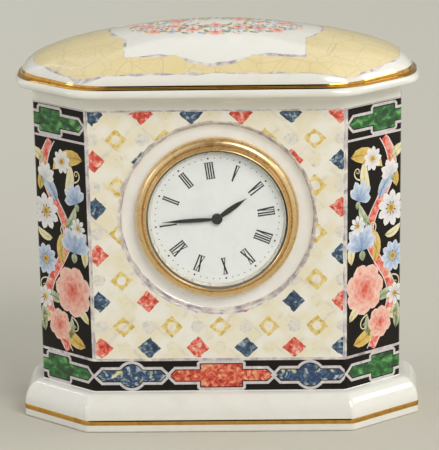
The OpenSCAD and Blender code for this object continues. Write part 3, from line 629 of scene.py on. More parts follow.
moved = add(diaper, "GeometryNodeTransform", {
    "Geometry": grid, "Translation": add(diaper, "ShaderNodeCombineXYZ", middle)})
index = add(diaper, "GeometryNodeInputIndex")
column = index
for operation, value in (("ADD", 0.5), ("DIVIDE", given["Rows"]), ("FLOOR", 0)):
    column = add(diaper, "ShaderNodeMath", {0: column, 1: value}, operation=operation)
chosen = add(diaper, "ShaderNodeMath", {0: index, 1: given["Rows"]}, operation="MODULO")
for operation, value in (("ADD", column), ("MODULO", given["Every"]), ("COMPARE", given["Which"])):
    chosen = add(diaper, "ShaderNodeMath", {0: chosen, 1: value}, operation=operation)
tile = add(diaper, "GeometryNodeObjectInfo", {"Object": given["Tile"]})
spun = add(diaper, "FunctionNodeRandomValue", {"Min": (0, 0, -0.07), "Max": (0, 0, 0.07),
                                               "Seed": given["Seed"]}, data_type="FLOAT_VECTOR")
grown_by = add(diaper, "FunctionNodeRandomValue", {"Min": (0.92, 0.9, 1), "Max": (1.05, 1.04, 1),
                                                   "Seed": given["Seed"]}, data_type="FLOAT_VECTOR")
tiles = add(diaper, "GeometryNodeInstanceOnPoints", {
    "Points": moved, "Selection": chosen, "Instance": tile.outputs["Geometry"], "Rotation": spun,
    "Scale": grown_by})
solid = add(diaper, "GeometryNodeRealizeInstances", {"Geometry": tiles})
ragged = add(diaper, "ShaderNodeTexNoise", {"Scale": 0.9, "Detail": 2.0, "W": given["Seed"]},
             noise_dimensions="4D").outputs["Color"]
offset = add(diaper, "ShaderNodeVectorMath", {0: ragged, 1: (0.5, 0.5, 0.5)}, operation="SUBTRACT")
sideways = add(diaper, "ShaderNodeCombineXYZ", {"X": given["Wobble"], "Y": given["Wobble"]})
offset = add(diaper, "ShaderNodeVectorMath", {0: offset, 1: sideways}, operation="MULTIPLY")
torn = add(diaper, "GeometryNodeSetPosition", {"Geometry": solid, "Offset": offset})
trim = add(diaper, "GeometryNodeObjectInfo", {"Object": given["Panel"]})
trimmed = add(diaper, "GeometryNodeMeshBoolean", operation="INTERSECT", solver="MANIFOLD")
for part in (torn, trim):
    diaper.links.new(part.outputs["Geometry"], trimmed.inputs["Mesh 2"])
inked = add(diaper, "GeometryNodeSetMaterial", {"Geometry": trimmed, "Material": given["Print"]})
add(diaper, "NodeGroupOutput", {"Geometry": inked})

tiles_flat = {}
for name, corners, r, inner, per_side in (
        ("lozenge", 4, tile_half, None, 5),
        ("open_lozenge", 4, open_half, open_inner, 5),
        ("smudge", 10, smudge_r, None, 2)):
    flat = flat_print()
    outline = ngon(corners, r, per_side)
    slab(flat, outline, 0.05, [p.normalized() * inner for p in outline] if inner else None)
    tiles_flat[name] = hidden(name, flat)
sheet_wide, sheet_widens, sheet_aside = 1.0066, 0.0218, 0.72
trim_wide, trim_high, trim_up = 0.993, 0.992, 0.3


def laid(u, v, undo=False):
    """Where the printed sheet puts u: it widens upwards with the panel, and lies a little askew."""
    s = (v - first_row) / (panel_head - first_row)
    wider, aside = sheet_wide + sheet_widens * s, sheet_aside * (1 - s)
    return (u - aside) / wider if undo else u * wider + aside


def transfer(name, stops, patch_mm=1.2, stretch=(1, 1, 1)):
    """Ceramic ink of a transfer under thin glaze: marbled through its stops, and a little less
    glossy than the bare china."""
    return finish(name, stops, patch_mm, (0.1, 0.2), coat=0.4, stretch=stretch)


panels = {}
trim_edge = [(u * trim_wide, panel_foot + trim_up + (z - panel_foot) * trim_high) for u, z in panel_edge]
for k, hole in ((0, round_hole(trim_edge, ground_hole_r + 0.1)), (4, None)):
    flat = flat_print()
    slab(flat, trim_edge, 1.0, hole, sunk=-1.0)
    for vert in flat.verts:
        vert.co.x = laid(vert.co.x, vert.co.y, undo=True)
    panels[k] = hidden("panel", flat)
red_print = transfer("red_transfer_print", ("#A32B20", "#DC4A38", "#E98470", "#F4DACB"))
blue_print = transfer("blue_transfer_print", ("#14243A", "#263F59", "#4A6580", "#C4CCCC"))
yellow_print = transfer("yellow_transfer_print", ("#B99A45", "#DFC066", "#EAD38C", "#EFE2B4"))
grey_print = transfer("lilac_grey_print", ("#CFC9C6", "#DFDACF", "#EBE5D6", "#DED7CE"))
pale_print = transfer("pale_yellow_print", ("#EBE0BC", "#F0E9D3", "#E8DDB8"), 1.5)
for name, tile_name, columns, rows, left, foot, every, which, wobble, ink in (
        ("red_lozenges", "lozenge", 6, 6, first_column, first_row, 2, 0, 1.2, red_print),
        ("blue_lozenges", "lozenge", 6, 6, first_column, first_row, 2, 1, 1.3, blue_print),
        ("yellow_lozenges", "open_lozenge", 5, 5, open_column, open_row, 1, 0, 1.0, yellow_print),
        ("grey_smudges", "smudge", 6, 5, first_column, open_row, 1, 0, 1.5, grey_print),
        ("pale_smudges", "smudge", 5, 6, open_column, first_row, 1, 0, 1.5, pale_print)):
    whole = bmesh.new()
    for k in (0, 4):
        mesh = grown(diaper, {"Tile": tiles_flat[tile_name], "Panel": panels[k], "Columns": columns,
                              "Rows": rows, "First Column": left, "First Row": foot, "Every": every,
                              "Which": which, "Wobble": wobble, "Seed": k + 1, "Print": ink})
        flat = bmesh.new()
        flat.from_mesh(mesh)
        for vert in flat.verts:
            vert.co.x = laid(vert.co.x, vert.co.y)
        on_panel(whole, flat, k)
    made(name, whole, ink)

# Lilac lines, brushed on unevenly, edge the panels: round the dish, up the corners, along the top
# and round the whole body over the strap band.
ring_in, ring_out, line_low, line_high, line_top = 27.0, 28.15, 19.5, 20.25, 0.045


def wavering(value, spread, seed, pitch=4.0):
    """A value that wanders by up to spread as the seed point moves."""
    return value + spread * noise.noise(Vector(seed) / pitch)


def dish_height(r):
    """Height of the dish and its lip over the seat, at a distance from the dial's axis."""
    if r < dish_r:
        return (dish_depth - lip) * (1 - math.sin(math.acos(1 - (dish_r - r) / (dish_r - seat_r))))
    return dish_depth - lip * (1 - math.sin(math.acos(max(1 - (r - dish_r) / lip, 0))))


lilac = transfer("lilac_line_print", ("#988C98", "#BCB1B8", "#DCD5CE", "#ECE7DA"), 2.6)
lines = bmesh.new()
ring_rows = [[] for _ in range(9)]
for a in around_dial:
    seed, upright = (30 * math.cos(a), 30 * math.sin(a), 0), math.sin(a) ** 2
    low = wavering(ring_in, 0.25, seed) - 0.55 * upright
    high = wavering(ring_out, 0.4, seed, 3.0) - 0.2 * upright
    for step, row in enumerate(ring_rows):
        r = low + (high - low) * step / 8
        row.append(Vector((r * math.cos(a), seat_y - dish_height(r), opening_h + r * math.sin(a))))
skin(lines, ring_rows, line_top)
heights = [panel_foot + (panel_head - panel_foot) * i / 60 for i in range(61)]
for k in (0, 4):
    flat = flat_print()
    for side in (-1, 1):
        inner = [(side * (edge_at(z) - wavering(0.75, 0.3, (0, side, z))), z) for z in heights]
        outer_side = [(side * (edge_at(z) + 0.35), z) for z in reversed(heights)]
        slab(flat, inner + outer_side, 0.06)
    under_cove = [(u, wavering(91.6, 0.3, (u, 5, 0))) for u in range(-35, 36)]
    slab(flat, under_cove + [(u, 92.05) for u in range(35, -36, -1)], 0.06)
    on_panel(lines, flat, k)
skin(lines, [case_ring(0, z) for z in (line_low, line_high)], line_top)
made("lilac_lines", lines, lilac)

# A strap band runs round the foot of the body: cartouches of red, blue and green marbling in
# lilac-white straps on black, tip crossing tip. The flanks carry a second row of them at the top.
band_foot, band_head, band_mid, top_band_mid = 10.75, 19.5, 15.15, 87.2
strap_w, dark_w = 0.78, 0.3
corner_w, chamfer_w, side_w = 2 * corner_half, 2 * 10.06 + 2 * corner_half, 2 * 6.97 + 2 * corner_half
flank_w = 2 * chamfer_w + side_w
flank_foot, flank_head = 20.0, cove_z


def inset(outline, d):
    """A counterclockwise outline drawn in by d."""
    result = []
    for i, p in enumerate(outline):
        before, after = outline[i - 1], outline[(i + 1) % len(outline)]
        a, b = (p - before).normalized(), (after - p).normalized()
        left_a, left_b = Vector((-a.y, a.x)), Vector((-b.y, b.x))
        mitre = (left_a + left_b).normalized()
        result.append(p + mitre * d / max(mitre.dot(left_a), 0.3))
    return result


def four_ways(quarter):
    """The whole outline from its first quarter, which runs from the right tip to the top."""
    up = [Vector(p) for p in quarter]
    over = [Vector((-p.x, p.y)) for p in reversed(up) if p.x > 0]
    half = up + over
    return half + [Vector((p.x, -p.y)) for p in reversed(half) if p.y > 0]


arm = 2.6
red_block = four_ways([(15.9, 0), (13.3, arm), (6.9, arm), (6.9, 3.7), (6.2, 4.35), (0, 4.35)])
boss_r, boss_turn = 4.35, math.asin(arm / 4.35)
round_boss = four_ways([(11.2, 0), (8.6, arm)]
                       + [(boss_r * math.cos(a), boss_r * math.sin(a))
                          for a in [boss_turn + (math.pi / 2 - boss_turn) * i / 7 for i in range(8)]])
green_block = four_ways([(15.1, 0), (12.5, arm), (5.3, arm), (5.3, 3.5), (4.5, 4.35), (0, 4.35)])


def cartouche(straps, fills, outline, u, v, top=0.07):
    """Draws a cartouche's strap, and its filling inside a dark gap."""
    put = Vector((u, v))
    slab(straps, [p + put for p in outline], top, [p + put for p in inset(outline, strap_w)])
    slab(fills, [p + put for p in inset(outline, strap_w + dark_w)], 0.06)


def on_flank(side, w, v, h):
    """The point at w from the front edge of the right (1) or left (-1) flank, round its corners."""
    if w <= chamfer_w:
        k, u = 1, w - chamfer_w / 2
    elif w <= chamfer_w + side_w:
        k, u = 2, w - chamfer_w - side_w / 2
    else:
        k, u = 3, w - 1.5 * chamfer_w - side_w
    return on_wall(k if side > 0 else 8 - k, side * u, v, h)


flank_cuts = []
for corner in (0, chamfer_w, chamfer_w + side_w, flank_w):
    flank_cuts += [((corner + corner_w * step, 0), (1, 0)) for step in (-0.5, -0.25, 0, 0.25, 0.5)]
black, straps, reds, blues, greens = (bmesh.new() for _ in range(5))
skin(black, [case_ring(0, z) for z in (band_foot, band_head)], 0.03)
for k in (0, 4):
    for whole, drawn, top in ((reds, [(red_block, 0.5)], 0.07),
                              (blues, [(round_boss, -24.9), (round_boss, 25.6)], 0.08)):
        flat_straps, fills = flat_print(), flat_print()
        for outline, u in drawn:
            cartouche(flat_straps, fills, outline, u, band_mid, top)
        on_panel(straps, flat_straps, k)
        on_panel(whole, fills, k)
for side in (-1, 1):
    flat_straps, fills, fields = flat_print(), flat_print(), flat_print()
    for v in (band_mid, top_band_mid):
        for share_of_flank in (0.25, 0.75):
            cartouche(flat_straps, fills, green_block, flank_w * share_of_flank, v)
    for flat, start, low, high, top in ((flat_straps, 0.3, 82.2, 82.85, 0.06),
                                        (flat_straps, 0.3, 91.75, 92.05, 0.06),
                                        (fields, 0.25, flank_foot, flank_head, 0.03)):
        end = flank_w - start
        slab(flat, [(start, low), (end, low), (end, high), (start, high)], top)
    for whole, flat in ((straps, flat_straps), (greens, fills), (black, fields)):
        added(whole, bent(flat, lambda u, v, h: on_flank(side, u, v, h), flank_cuts))
# The black is a flat, dense ink that shows little gloss; the straps and the marbled fillings are
# transfers like the lozenges.
black_print = finish("black_ground_print", ("#120F0D", "#1B1614", "#171210"), 4, (0.08, 0.16), gloss=0.2)
made("black_ground", black, black_print)
made("straps", straps, transfer("lilac_white_strap_print", ("#B7AEB2", "#D8D2CF", "#CBC3C6", "#E4E0DA"), 3))
red_marble = transfer("red_marbled_print", ("#6F1B13", "#BC3727", "#D9523B", "#E58F69", "#E9BE98"))
made("red_cartouches", reds, red_marble)
blue_marble = transfer("blue_marbled_print", (
    "#DCDDD6", "#A9B8BE", "#2C4A6C", "#17335A", "#46688C", "#D2C77C", "#DDE2DC"), 2.6)
made("blue_cartouches", blues, blue_marble)
green_marble = transfer("green_marbled_print", ("#0B2A12", "#164A20", "#2B7634", "#74AE62"), 3.0,
                        (1, 1, 1.6))
made("green_cartouches", greens, green_marble)

# Each flank carries painted flowers on the black: a ribbon in a plain wave, roses, daisies and
# bell flowers with leaves and tendrils, mirrored about the middle of the side. The colours are
# overglaze enamels, glassy and slightly raised, laid one on the other and paler towards the edge
# of each petal.
paints = {}
for colour, name, patch_mm, tinted, stops in (
        ("pink", "pink_enamel", 1.4, 0.75, ("#F5DCCB", "#EFAD9B", "#DE6353", "#A92A21")),
        ("blue", "pale_blue_enamel", 1.4, 0.75, ("#E6EBF2", "#B4C4DB", "#7E99BF", "#38537D")),
        ("white", "white_enamel", 1.4, 0.75, ("#F4F2EA", "#E6E3E4", "#C9C6D2", "#B5A96E")),
        ("cream", "cream_enamel", 1.6, 0.7, ("#F1EACD", "#EADFB2", "#D6C38A", "#9C8A52")),
        ("mustard", "mustard_enamel", 1.6, 0.7, ("#EBD795", "#DDBB62", "#C39A3E", "#7C5F22")),
        ("leaf", "grey_green_enamel", 1.6, 0.7, ("#D9DEC4", "#A9B58E", "#6F8562", "#40553C")),
        ("ribbon", "red_ribbon_enamel", 1.5, 0.35, ("#F4E3D6", "#EE9C8C", "#DE4A3A", "#C2352A"))):
    paints[colour] = finish(name, stops, patch_mm, (0.12, 0.22), coat=0.3, tinted=tinted)


def towards(degrees):
    """The unit vector at a heading in degrees."""
    return Vector((math.cos(math.radians(degrees)), math.sin(math.radians(degrees))))


def course(start, heading, length, bend):
    """Points along an arc that starts at a heading and turns by bend, both in degrees."""
    points, steps = [Vector(start)], 7
    for i in range(steps):
        points.append(points[-1] + towards(heading + bend * (i + 0.5) / steps) * length / steps)
    return points


def stroke(flat, path, halves, top, deep=(0.5, 0.5), edge=0.3):
    """A brush stroke along a path, of these half widths, whose tint runs from deep[0] to deep[1]."""
    tints = flat.verts.layers.float["tint"]
    last = len(path) - 1
    layers = []
    for height in (sunk_h, top):
        layer = []
        for i, (p, half) in enumerate(zip(path, halves)):
            along = (path[min(i + 1, last)] - path[max(i - 1, 0)]).normalized()
            across = Vector((-along.y, along.x))
            row = []
            for c in (-1, 0, 1):
                q = p + across * half * c
                vert = flat.verts.new((q.x, q.y, height))
                vert[tints] = min(max(deep[0] + (deep[1] - deep[0]) * i / last - edge * abs(c), 0), 1)
                row.append(vert)
            layer.append(row)
        layers.append(layer)
    for layer in layers:
        for low, high in zip(layer, layer[1:]):
            for c in (0, 1):
                flat.faces.new((low[c], low[c + 1], high[c + 1], high[c]))
    under, over = layers
    for i in range(last):
        for c in (0, 2):
            flat.faces.new((under[i][c], under[i + 1][c], over[i + 1][c], over[i][c]))
    for i in (0, last):
        for c in (0, 1):
            flat.faces.new((under[i][c], under[i][c + 1], over[i][c + 1], over[i][c]))


def petal(flat, start, heading, length, width, top, bend=0.0, deep=(1.0, 0.1), belly=1.4):
    """A petal or leaf: a stroke that swells and closes, widest past its middle where belly is over 1."""
    path = course(start, heading, length, bend)
    halves = [max(0.04, width / 2 * math.sin(math.pi * (i / 7) ** belly) ** 0.65) for i in range(8)]
    stroke(flat, path, halves, top, deep)


def rose(flats, at, size, turn=0.0):
    """A full-blown rose: rings of petals, each higher and deeper in colour than the one outside it."""
    at = Vector(at)
    level = 0.05
    for count, start, length, width, deep in (
            (7, 0.3, 0.72, 0.78, (0.8, 0.0)), (6, 0.16, 0.6, 0.62, (0.95, 0.15)),
            (5, 0.04, 0.45, 0.5, (1.0, 0.3)), (3, 0.0, 0.26, 0.34, (1.0, 0.55))):
        for i in range(count):
            a = turn + 360 * i / count + 23 * count
            root = at + towards(a) * size * start
            petal(flats["pink"], root, a, size * length, size * width, level, 14, deep)
            level += 0.003


def daisy(flats, at, size, colour="white", count=9, turn=0.0):
    """A daisy: narrow petals round a domed eye."""
    at = Vector(at)
    for i in range(count):
        a = turn + 360 * i / count
        root = at + towards(a) * size * 0.2
        petal(flats[colour], root, a, size * 0.8, size * 0.46, 0.07 + 0.002 * i, 8, (0.7, 0.0))
    for r, top, tint in ((0.27, 0.11, 0.35), (0.15, 0.125, 0.9)):
        slab(flats["mustard"], [at + p for p in ngon(10, size * r, 1)], top, tint=tint)


def bell(flats, at, heading, size, colour="blue"):
    """A bell flower seen from the side: a fan of long petals from one cup."""
    for i, (turn, length) in enumerate(((-52, 0.75), (50, 0.78), (-26, 0.92), (27, 0.95), (0, 1.0))):
        petal(flats[colour], at, heading + turn, size * length, size * 0.42, 0.06 + 0.004 * i, turn * 0.5,
              (0.9, 0.0), 1.5)
    petal(flats["leaf"], Vector(at), heading + 180, size * 0.35, size * 0.28, 0.08, 0, (0.3, 0.8), 0.8)


def leaf(flats, at, heading, length, colour="leaf", bend=30.0, width=0.34):
    """A leaf with its midrib."""
    petal(flats[colour], at, heading, length, length * width, 0.045, bend, (0.65, 0.05), 0.85)
    path = course(at, heading, length * 0.85, bend * 0.85)
    stroke(flats[colour], path, [0.16 - 0.016 * i for i in range(8)], 0.055, (1.0, 0.8), 0)


def tendril(flats, at, heading, length, turns):
    """A thin stroke that winds up into a spiral."""
    path, half = [Vector(at)], 0.22
    for i in range(28):
        aim = towards(heading + 360 * turns * (i / 28) ** 1.6)
        path.append(path[-1] + aim * length / 28 * (1.5 - i / 28))
    stroke(flats["cream"], path, [half * (1 - 0.6 * i / 28) for i in range(29)], 0.045, (0.2, 0.4), 0.1)


def flank_flowers(flats, place, flip):
    """One half of a flank's painting; place turns a point, and flip says whether it is mirrored."""
    def aim(heading):
        return 180 - heading if flip else heading
    turn = -1 if flip else 1
    climb = [21 + 60.5 * i / 60 for i in range(61)]
    wave = [place(13.6 + 4.6 * math.sin(2 * math.pi * (z - 26) / 38), z) for z in climb]
    stroke(flats["ribbon"], wave, [1.5 + 0.25 * math.sin(i * 0.6) for i in range(61)], 0.04, (0.5, 0.5), 0.25)
    for edge in (-1, 1):
        lined = [p + Vector((edge * 1.62, 0)) for p in wave]
        stroke(flats["white"], lined, [0.13] * 61, 0.045, (0, 0), 0)
    for at, heading, length, colour, bend in (
            ((3.0, 23.0), 8, 12.0, "mustard", 42), ((9.5, 24.5), 118, 6.5, "leaf", -40),
            ((1.4, 30.0), 60, 8.0, "cream", -50), ((16.0, 31.0), -35, 9.5, "cream", 50),
            ((12.5, 34.5), 35, 9.0, "leaf", -60), ((2.0, 46.5), 100, 8.5, "cream", -45),
            ((11.0, 46.0), 62, 9.5, "mustard", 55), ((9.5, 57.0), 150, 8.0, "leaf", -55),
            ((15.5, 53.0), -8, 7.0, "cream", 60), ((13.0, 64.0), 70, 11.0, "blue", -48),
            ((9.0, 66.5), 128, 10.0, "cream", -55), ((20.0, 66.5), 95, 9.0, "mustard", 45),
            ((1.6, 77.5), 12, 14.0, "mustard", -62), ((17.5, 74.5), 52, 8.5, "cream", -50),
            ((20.0, 25.0), 75, 9.0, "leaf", 38)):
        leaf(flats, place(*at), aim(heading), length, colour, turn * bend)
    for at, heading, length, turns in (
            ((8.5, 31.0), 200, 9, 1.3), ((16.5, 40.5), 15, 11, -1.3), ((9.0, 53.5), 20, 10, 1.5),
            ((6.0, 70.5), 170, 9, -1.4), ((20.5, 57.0), 60, 9, 1.3), ((20.5, 78.5), 200, 8, 1.2)):
        tendril(flats, place(*at), aim(heading), length, turn * turns)
    bell(flats, place(6.2, 50.0), aim(96), 8.6)
    bell(flats, place(4.8, 64.5), aim(70), 6.4)
    bell(flats, place(18.0, 70.0), aim(115), 5.2, "white")
    rose(flats, place(7.4, 38.6), 7.4)
    rose(flats, place(13.6, 28.0), 4.6, 20)
    daisy(flats, place(17.8, 60.5), 5.4)
    daisy(flats, place(18.6, 46.4), 4.7, "blue", 10)
    daisy(flats, place(10.2, 76.0), 3.6)
    daisy(flats, place(4.4, 57.5), 3.0, "white", 8)
    daisy(flats, place(19.6, 35.2), 3.4, "white", 8)


whole_paint = {colour: bmesh.new() for colour in paints}
for side in (-1, 1):
    flats = {colour: flat_print() for colour in paints}
    flank_flowers(flats, lambda w, z: Vector((w, z)), False)
    flank_flowers(flats, lambda w, z: Vector((flank_w - w, z)), True)
    centre = flank_w / 2
    stem = [Vector((centre + 0.7 * math.sin(i * 0.45), 21 + 52 * i / 30)) for i in range(31)]
    stroke(flats["leaf"], stem, [0.42] * 31, 0.04, (0.5, 0.3), 0.3)
    for z, length in ((25, 6.0), (41, 5.5), (58, 5.5), (68, 5.0)):
        leaf(flats, (centre, z), 62, length, "leaf", -40)
        leaf(flats, (centre, z), 118, length, "cream", 40)
    daisy(flats, (centre, 33.5), 4.6, "blue", 10)
    rose(flats, (centre, 51.0), 5.6, 12)
    daisy(flats, (centre, 64.5), 4.2)
    bell(flats, (centre, 72.5), 90, 6.5, "blue")
    for colour, flat in flats.items():
        added(whole_paint[colour], bent(flat, lambda u, v, h: on_flank(side, u, v, h), flank_cuts))

# The top is printed with a yellow ground crazed by fine brown lines, between a white margin and a
# white field with a lobe on each side, both outlined in lilac. A small wreath of the same flowers
# lies on it.
field_in, field_x, field_y, wreath_y = 1.35, 25.4, 21.3, -2.2
lobes = ((Vector((0, 4.6)), 19.9), (Vector((15.3, 0)), 14.9))


def on_top(x, y, h):
    """The point of the top above (x, y), in metres, at a height over its surface."""
    spot, normal, _, _ = case_tree.ray_cast(Vector((x * mm, y * mm, 0.2)), Vector((0, 0, -1)))
    return spot + normal * h * mm


def crown(a, out):
    """A point of the white field's edge at an angle, moved out: an oblong with a lobe on each side."""
    way = Vector((math.cos(a), math.sin(a)))
    reach = [min((field_x + out) / max(abs(way.x), 1e-6), (field_y + out) / max(abs(way.y), 1e-6))]
    for lobe, r in lobes:
        b = lobe.dot((abs(way.x), abs(way.y)))
        inside = b * b - lobe.length_squared + (r + out) ** 2
        reach.append(b + math.sqrt(inside) if inside > 0 else 0)
    return way * max(reach)


# The white margin follows the rim, and widens a little towards the two ends.
rim_points = [Vector((p.x * (1 - 0.05 * share(abs(p.x), 42, 54)), p.y))
              for p in case_ring(top_out - field_in, cove_z + 3, fine=4)]
aims = [math.atan2(p.y, p.x) for p in rim_points]
tops = bmesh.new()
rows = []
for step in range(23):
    row = [p.lerp(crown(a, 0), (step / 22) ** 1.5) for p, a in zip(rim_points, aims)]
    rows.append([on_top(p.x, p.y, 0) / mm for p in row])
skin(tops, rows, 0.04)
# Yellow ink under a crazed glaze: the surface stays glossy, and stain in the fine cracks draws a
# large net and a smaller, fainter one.
crazed, tree = new_material("yellow_crazed_print")
place = add(tree, "ShaderNodeTexCoord").outputs["Object"]
cloud = add(tree, "ShaderNodeTexNoise", {"Vector": place, "Scale": 1 / (6 * mm), "Detail": 3.0})
tone = add(tree, "ShaderNodeMix", {"Factor": cloud, "A": hue("#ECDDAE"), "B": hue("#E2CF98")},
           data_type="RGBA")
cracks = []
for cell_mm, shift, depth in ((10.0, 0.0, 0.32), (5.5, 0.25, 0.195)):
    shifted = add(tree, "ShaderNodeMapping", {"Vector": place, "Location": (shift, 0, 0)})
    cells = add(tree, "ShaderNodeTexVoronoi", {"Vector": shifted, "Scale": 1 / (cell_mm * mm)},
                feature="DISTANCE_TO_EDGE").outputs["Distance"]
    cracks.append(add(tree, "ShaderNodeMapRange", {"Value": cells, "From Min": 0.0, "To Min": depth,
                                                   "From Max": 0.18 / cell_mm, "To Max": 0.0}))
either = add(tree, "ShaderNodeMath", {0: cracks[0], 1: cracks[1]}, operation="MAXIMUM")
cracked = add(tree, "ShaderNodeMix", {"Factor": either, "A": tone, "B": hue("#A08A82")}, data_type="RGBA")
body = add(tree, "ShaderNodeBsdfPrincipled", {"Base Color": cracked, "Roughness": 0.12, "Coat Weight": 0.4,
                                              "Coat Roughness": 0.04})
add(tree, "ShaderNodeOutputMaterial", {"Surface": body})
made("yellow_top", tops, crazed)
outlines = bmesh.new()
for width, seed, path in ((0.28, 3, lambda j, d: rim_points[j] - rim_points[j].normalized() * d),
                          (0.5, 7, lambda j, d: crown(aims[j], -d))):
    rows = []
    for edge in (-1, 0, 1):
        row = []
        for j in range(len(rim_points)):
            spot = path(j, 0)
            swell = max(0.15, 0.6 + 1.5 * noise.noise(Vector((*spot, seed)) / 5))
            spot = path(j, edge * width * swell + 0.3 * noise.noise(Vector((*spot, seed + 5)) / 4))
            row.append(on_top(spot.x, spot.y, 0) / mm)
        rows.append(row)
    skin(outlines, rows, 0.06)
made("lilac_outlines", outlines, lilac)
top_cuts = [((x, 0), (1, 0)) for x in range(-33, 34, 3)] + [((0, y), (0, 1)) for y in range(-18, 22, 3)]
flats = {colour: flat_print() for colour in paints}
leaf_colours, leaf_l, rose_size, daisy_size = ("leaf", "mustard", "leaf", "blue", "ribbon"), 3.0, 1.9, 1.4
for long, deep, count in ((23.0, 8.4, 88), (19.0, 6.8, 72), (15.0, 5.2, 56), (11.0, 3.6, 40)):
    for i in range(count):
        a = 2 * math.pi * i / count
        spot = (long * math.cos(a), wreath_y + deep * math.sin(a))
        along = math.degrees(math.atan2(deep * math.cos(a), -long * math.sin(a)))
        leaf(flats, spot, along + (40, -35, 15)[(i + count) % 3], leaf_l, leaf_colours[i % 5],
             (30, -30, 50)[i % 3], 0.36)
    for i in range(count // 4):
        a = 2 * math.pi * (i + 0.5) / (count // 4)
        spot = Vector((long * math.cos(a), wreath_y + deep * math.sin(a)))
        if (i + count // 8) % 3 == 0:
            rose(flats, spot, rose_size, 40 * i)
        else:
            daisy(flats, spot, daisy_size, ("blue", "white")[i % 2], 8, 20 * i)
for colour, flat in flats.items():
    added(whole_paint[colour], bent(flat, on_top, top_cuts))
    made(colour + "_painting", whole_paint[colour], paints[colour])

# The bezel is turned brass, polished and gilt: a round bead, a fine groove, and a cone of small
# ribs that rises to the lip over the crystal.
bezel_r, bead_z, groove_z, groove_r, lip_top, window_r, lip_z = 23.0, 1.2, 3.3, 21.1, 5.0, 19.9, 4.6
cup_r, flange_r, flange_t, loose = 20.2, 22.2, 0.8, 0.05
bead_x = groove_r + 0.15
bead_rx, bead_rz = bezel_r - bead_x, groove_z - bead_z
foot_angle = math.asin(bead_z / bead_rz)
outline = [(flange_r + loose, 0)]
outline += [(bead_x + bead_rx * math.cos(a), bead_z + bead_rz * math.sin(a))
            for a in [(math.pi / 2 + foot_angle) * i / 24 - foot_angle for i in range(25)]]
snap_r = cup_r + loose
outline += [(groove_r, groove_z - 0.22), (groove_r - 0.15, groove_z + 0.08), (snap_r, lip_top - 0.2),
            (snap_r - 0.06, lip_top - 0.06), (snap_r - 0.2, lip_top), (window_r, lip_top - 0.13),
            (window_r, lip_z), (snap_r, lip_z), (snap_r, flange_t), (flange_r + loose, flange_t)]
# Buffed brass with a thin gilt wash: a pale gold whose fine scratches soften what it mirrors.
brass = finish("polished_gilt_brass", ("#DDBB84", "#EED09C", "#E5C38F"), 2.5, (0.22, 0.34), metallic=1.0)
ring = turned("bezel_ring", outline, 288)
bezel_mesh = ring.data
bpy.data.objects.remove(ring)
ribbing, given = node_tree("bezel_ribs", {
    "Ribs": ("Int", 168), "Radius": ("Float", 20.6), "Height": ("Float", 4.15), "Length": ("Float", 1.35),
    "Width": ("Float", 0.38), "Proud": ("Float", 0.16), "Tilt": ("Float", math.atan2(-1.42, -0.7)),
    "Gilt": ("Material", None)})
circle = add(ribbing, "GeometryNodeMeshCircle", {"Vertices": given["Ribs"], "Radius": given["Radius"]})
rib_size = add(ribbing, "ShaderNodeCombineXYZ", {"X": given["Length"], "Y": given["Width"],
                                                 "Z": given["Proud"]})
rib = add(ribbing, "GeometryNodeMeshCube", {"Size": rib_size})
apart = add(ribbing, "ShaderNodeMath", {0: 2 * math.pi, 1: given["Ribs"]}, operation="DIVIDE")
around = add(ribbing, "ShaderNodeMath", {0: add(ribbing, "GeometryNodeInputIndex"), 1: apart},
             operation="MULTIPLY")
facing = add(ribbing, "ShaderNodeCombineXYZ", {"Y": given["Tilt"], "Z": around})
raised = add(ribbing, "ShaderNodeCombineXYZ", {"Z": given["Height"]})
ribs = add(ribbing, "GeometryNodeInstanceOnPoints", {"Points": circle, "Instance": rib, "Rotation": facing})
lifted = add(ribbing, "GeometryNodeTransform", {"Geometry": ribs, "Translation": raised})
solid = add(ribbing, "GeometryNodeRealizeInstances", {"Geometry": lifted})
gilt = add(ribbing, "GeometryNodeSetMaterial", {"Geometry": solid, "Material": given["Gilt"]})
add(ribbing, "NodeGroupOutput", {"Geometry": gilt})
rib_mesh = grown(ribbing, {"Gilt": brass})
to_dial = Matrix.Translation((0, seat_y * mm, opening_h * mm)) @ Matrix.Rotation(math.pi / 2, 4, "X")
rib_mesh.transform(to_dial @ Matrix.Scale(mm, 4))
whole = bmesh.new()
whole.from_mesh(bezel_mesh)
whole.from_mesh(rib_mesh)
bezel = made("bezel_ring", whole, brass, "insert")
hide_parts("bezel")

# The crystal is flat mineral glass, snapped behind the lip and coated against reflections; it lets the
# light through to the dial.
glass, tree = new_material("mineral_glass")
clear = add(tree, "ShaderNodeBsdfPrincipled", {"Base Color": hue("#FFFFFF"), "Roughness": 0.0, "IOR": 1.25,
                                               "Transmission Weight": 1.0})
through = add(tree, "ShaderNodeBsdfTransparent", {"Color": hue("#F6F6F5")})
shadow_ray = add(tree, "ShaderNodeLightPath").outputs["Is Shadow Ray"]
either = add(tree, "ShaderNodeMixShader", {"Fac": shadow_ray, 1: clear, 2: through})
add(tree, "ShaderNodeOutputMaterial", {"Surface": either})


def dressed(material, *nodes):
    """Gives CAD nodes, whose shapes are right as they are, their material."""
    for name in nodes:
        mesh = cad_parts[name].data
        mesh.materials.clear()
        mesh.materials.append(material)


dressed(glass, "crystal")

# The dial is a printed metal disc: a satin silver-white ground, a dot for each minute, larger each
# fifth, and condensed Roman numerals that stand on the centre. The insert sits turned in its hole.
dial_turn, dial_face, dots_r, numeral_in, numeral_out = 232.3, 2.5, 17.4, 11.5, 16.3
letter_w, stem, thick_bar, thin_bar = {"I": 0.66, "V": 1.2, "X": 1.35}, 0.4, 0.46, 0.24
slope_in, serif_in, serif_t = 0.2, 0.02, 0.2


def on_dial(u, v, h):
    """The point of the dial at u to the right and v up from its axis, in metres."""
    return Vector((u * mm, (seat_y - dial_face - h) * mm, (opening_h + v) * mm))


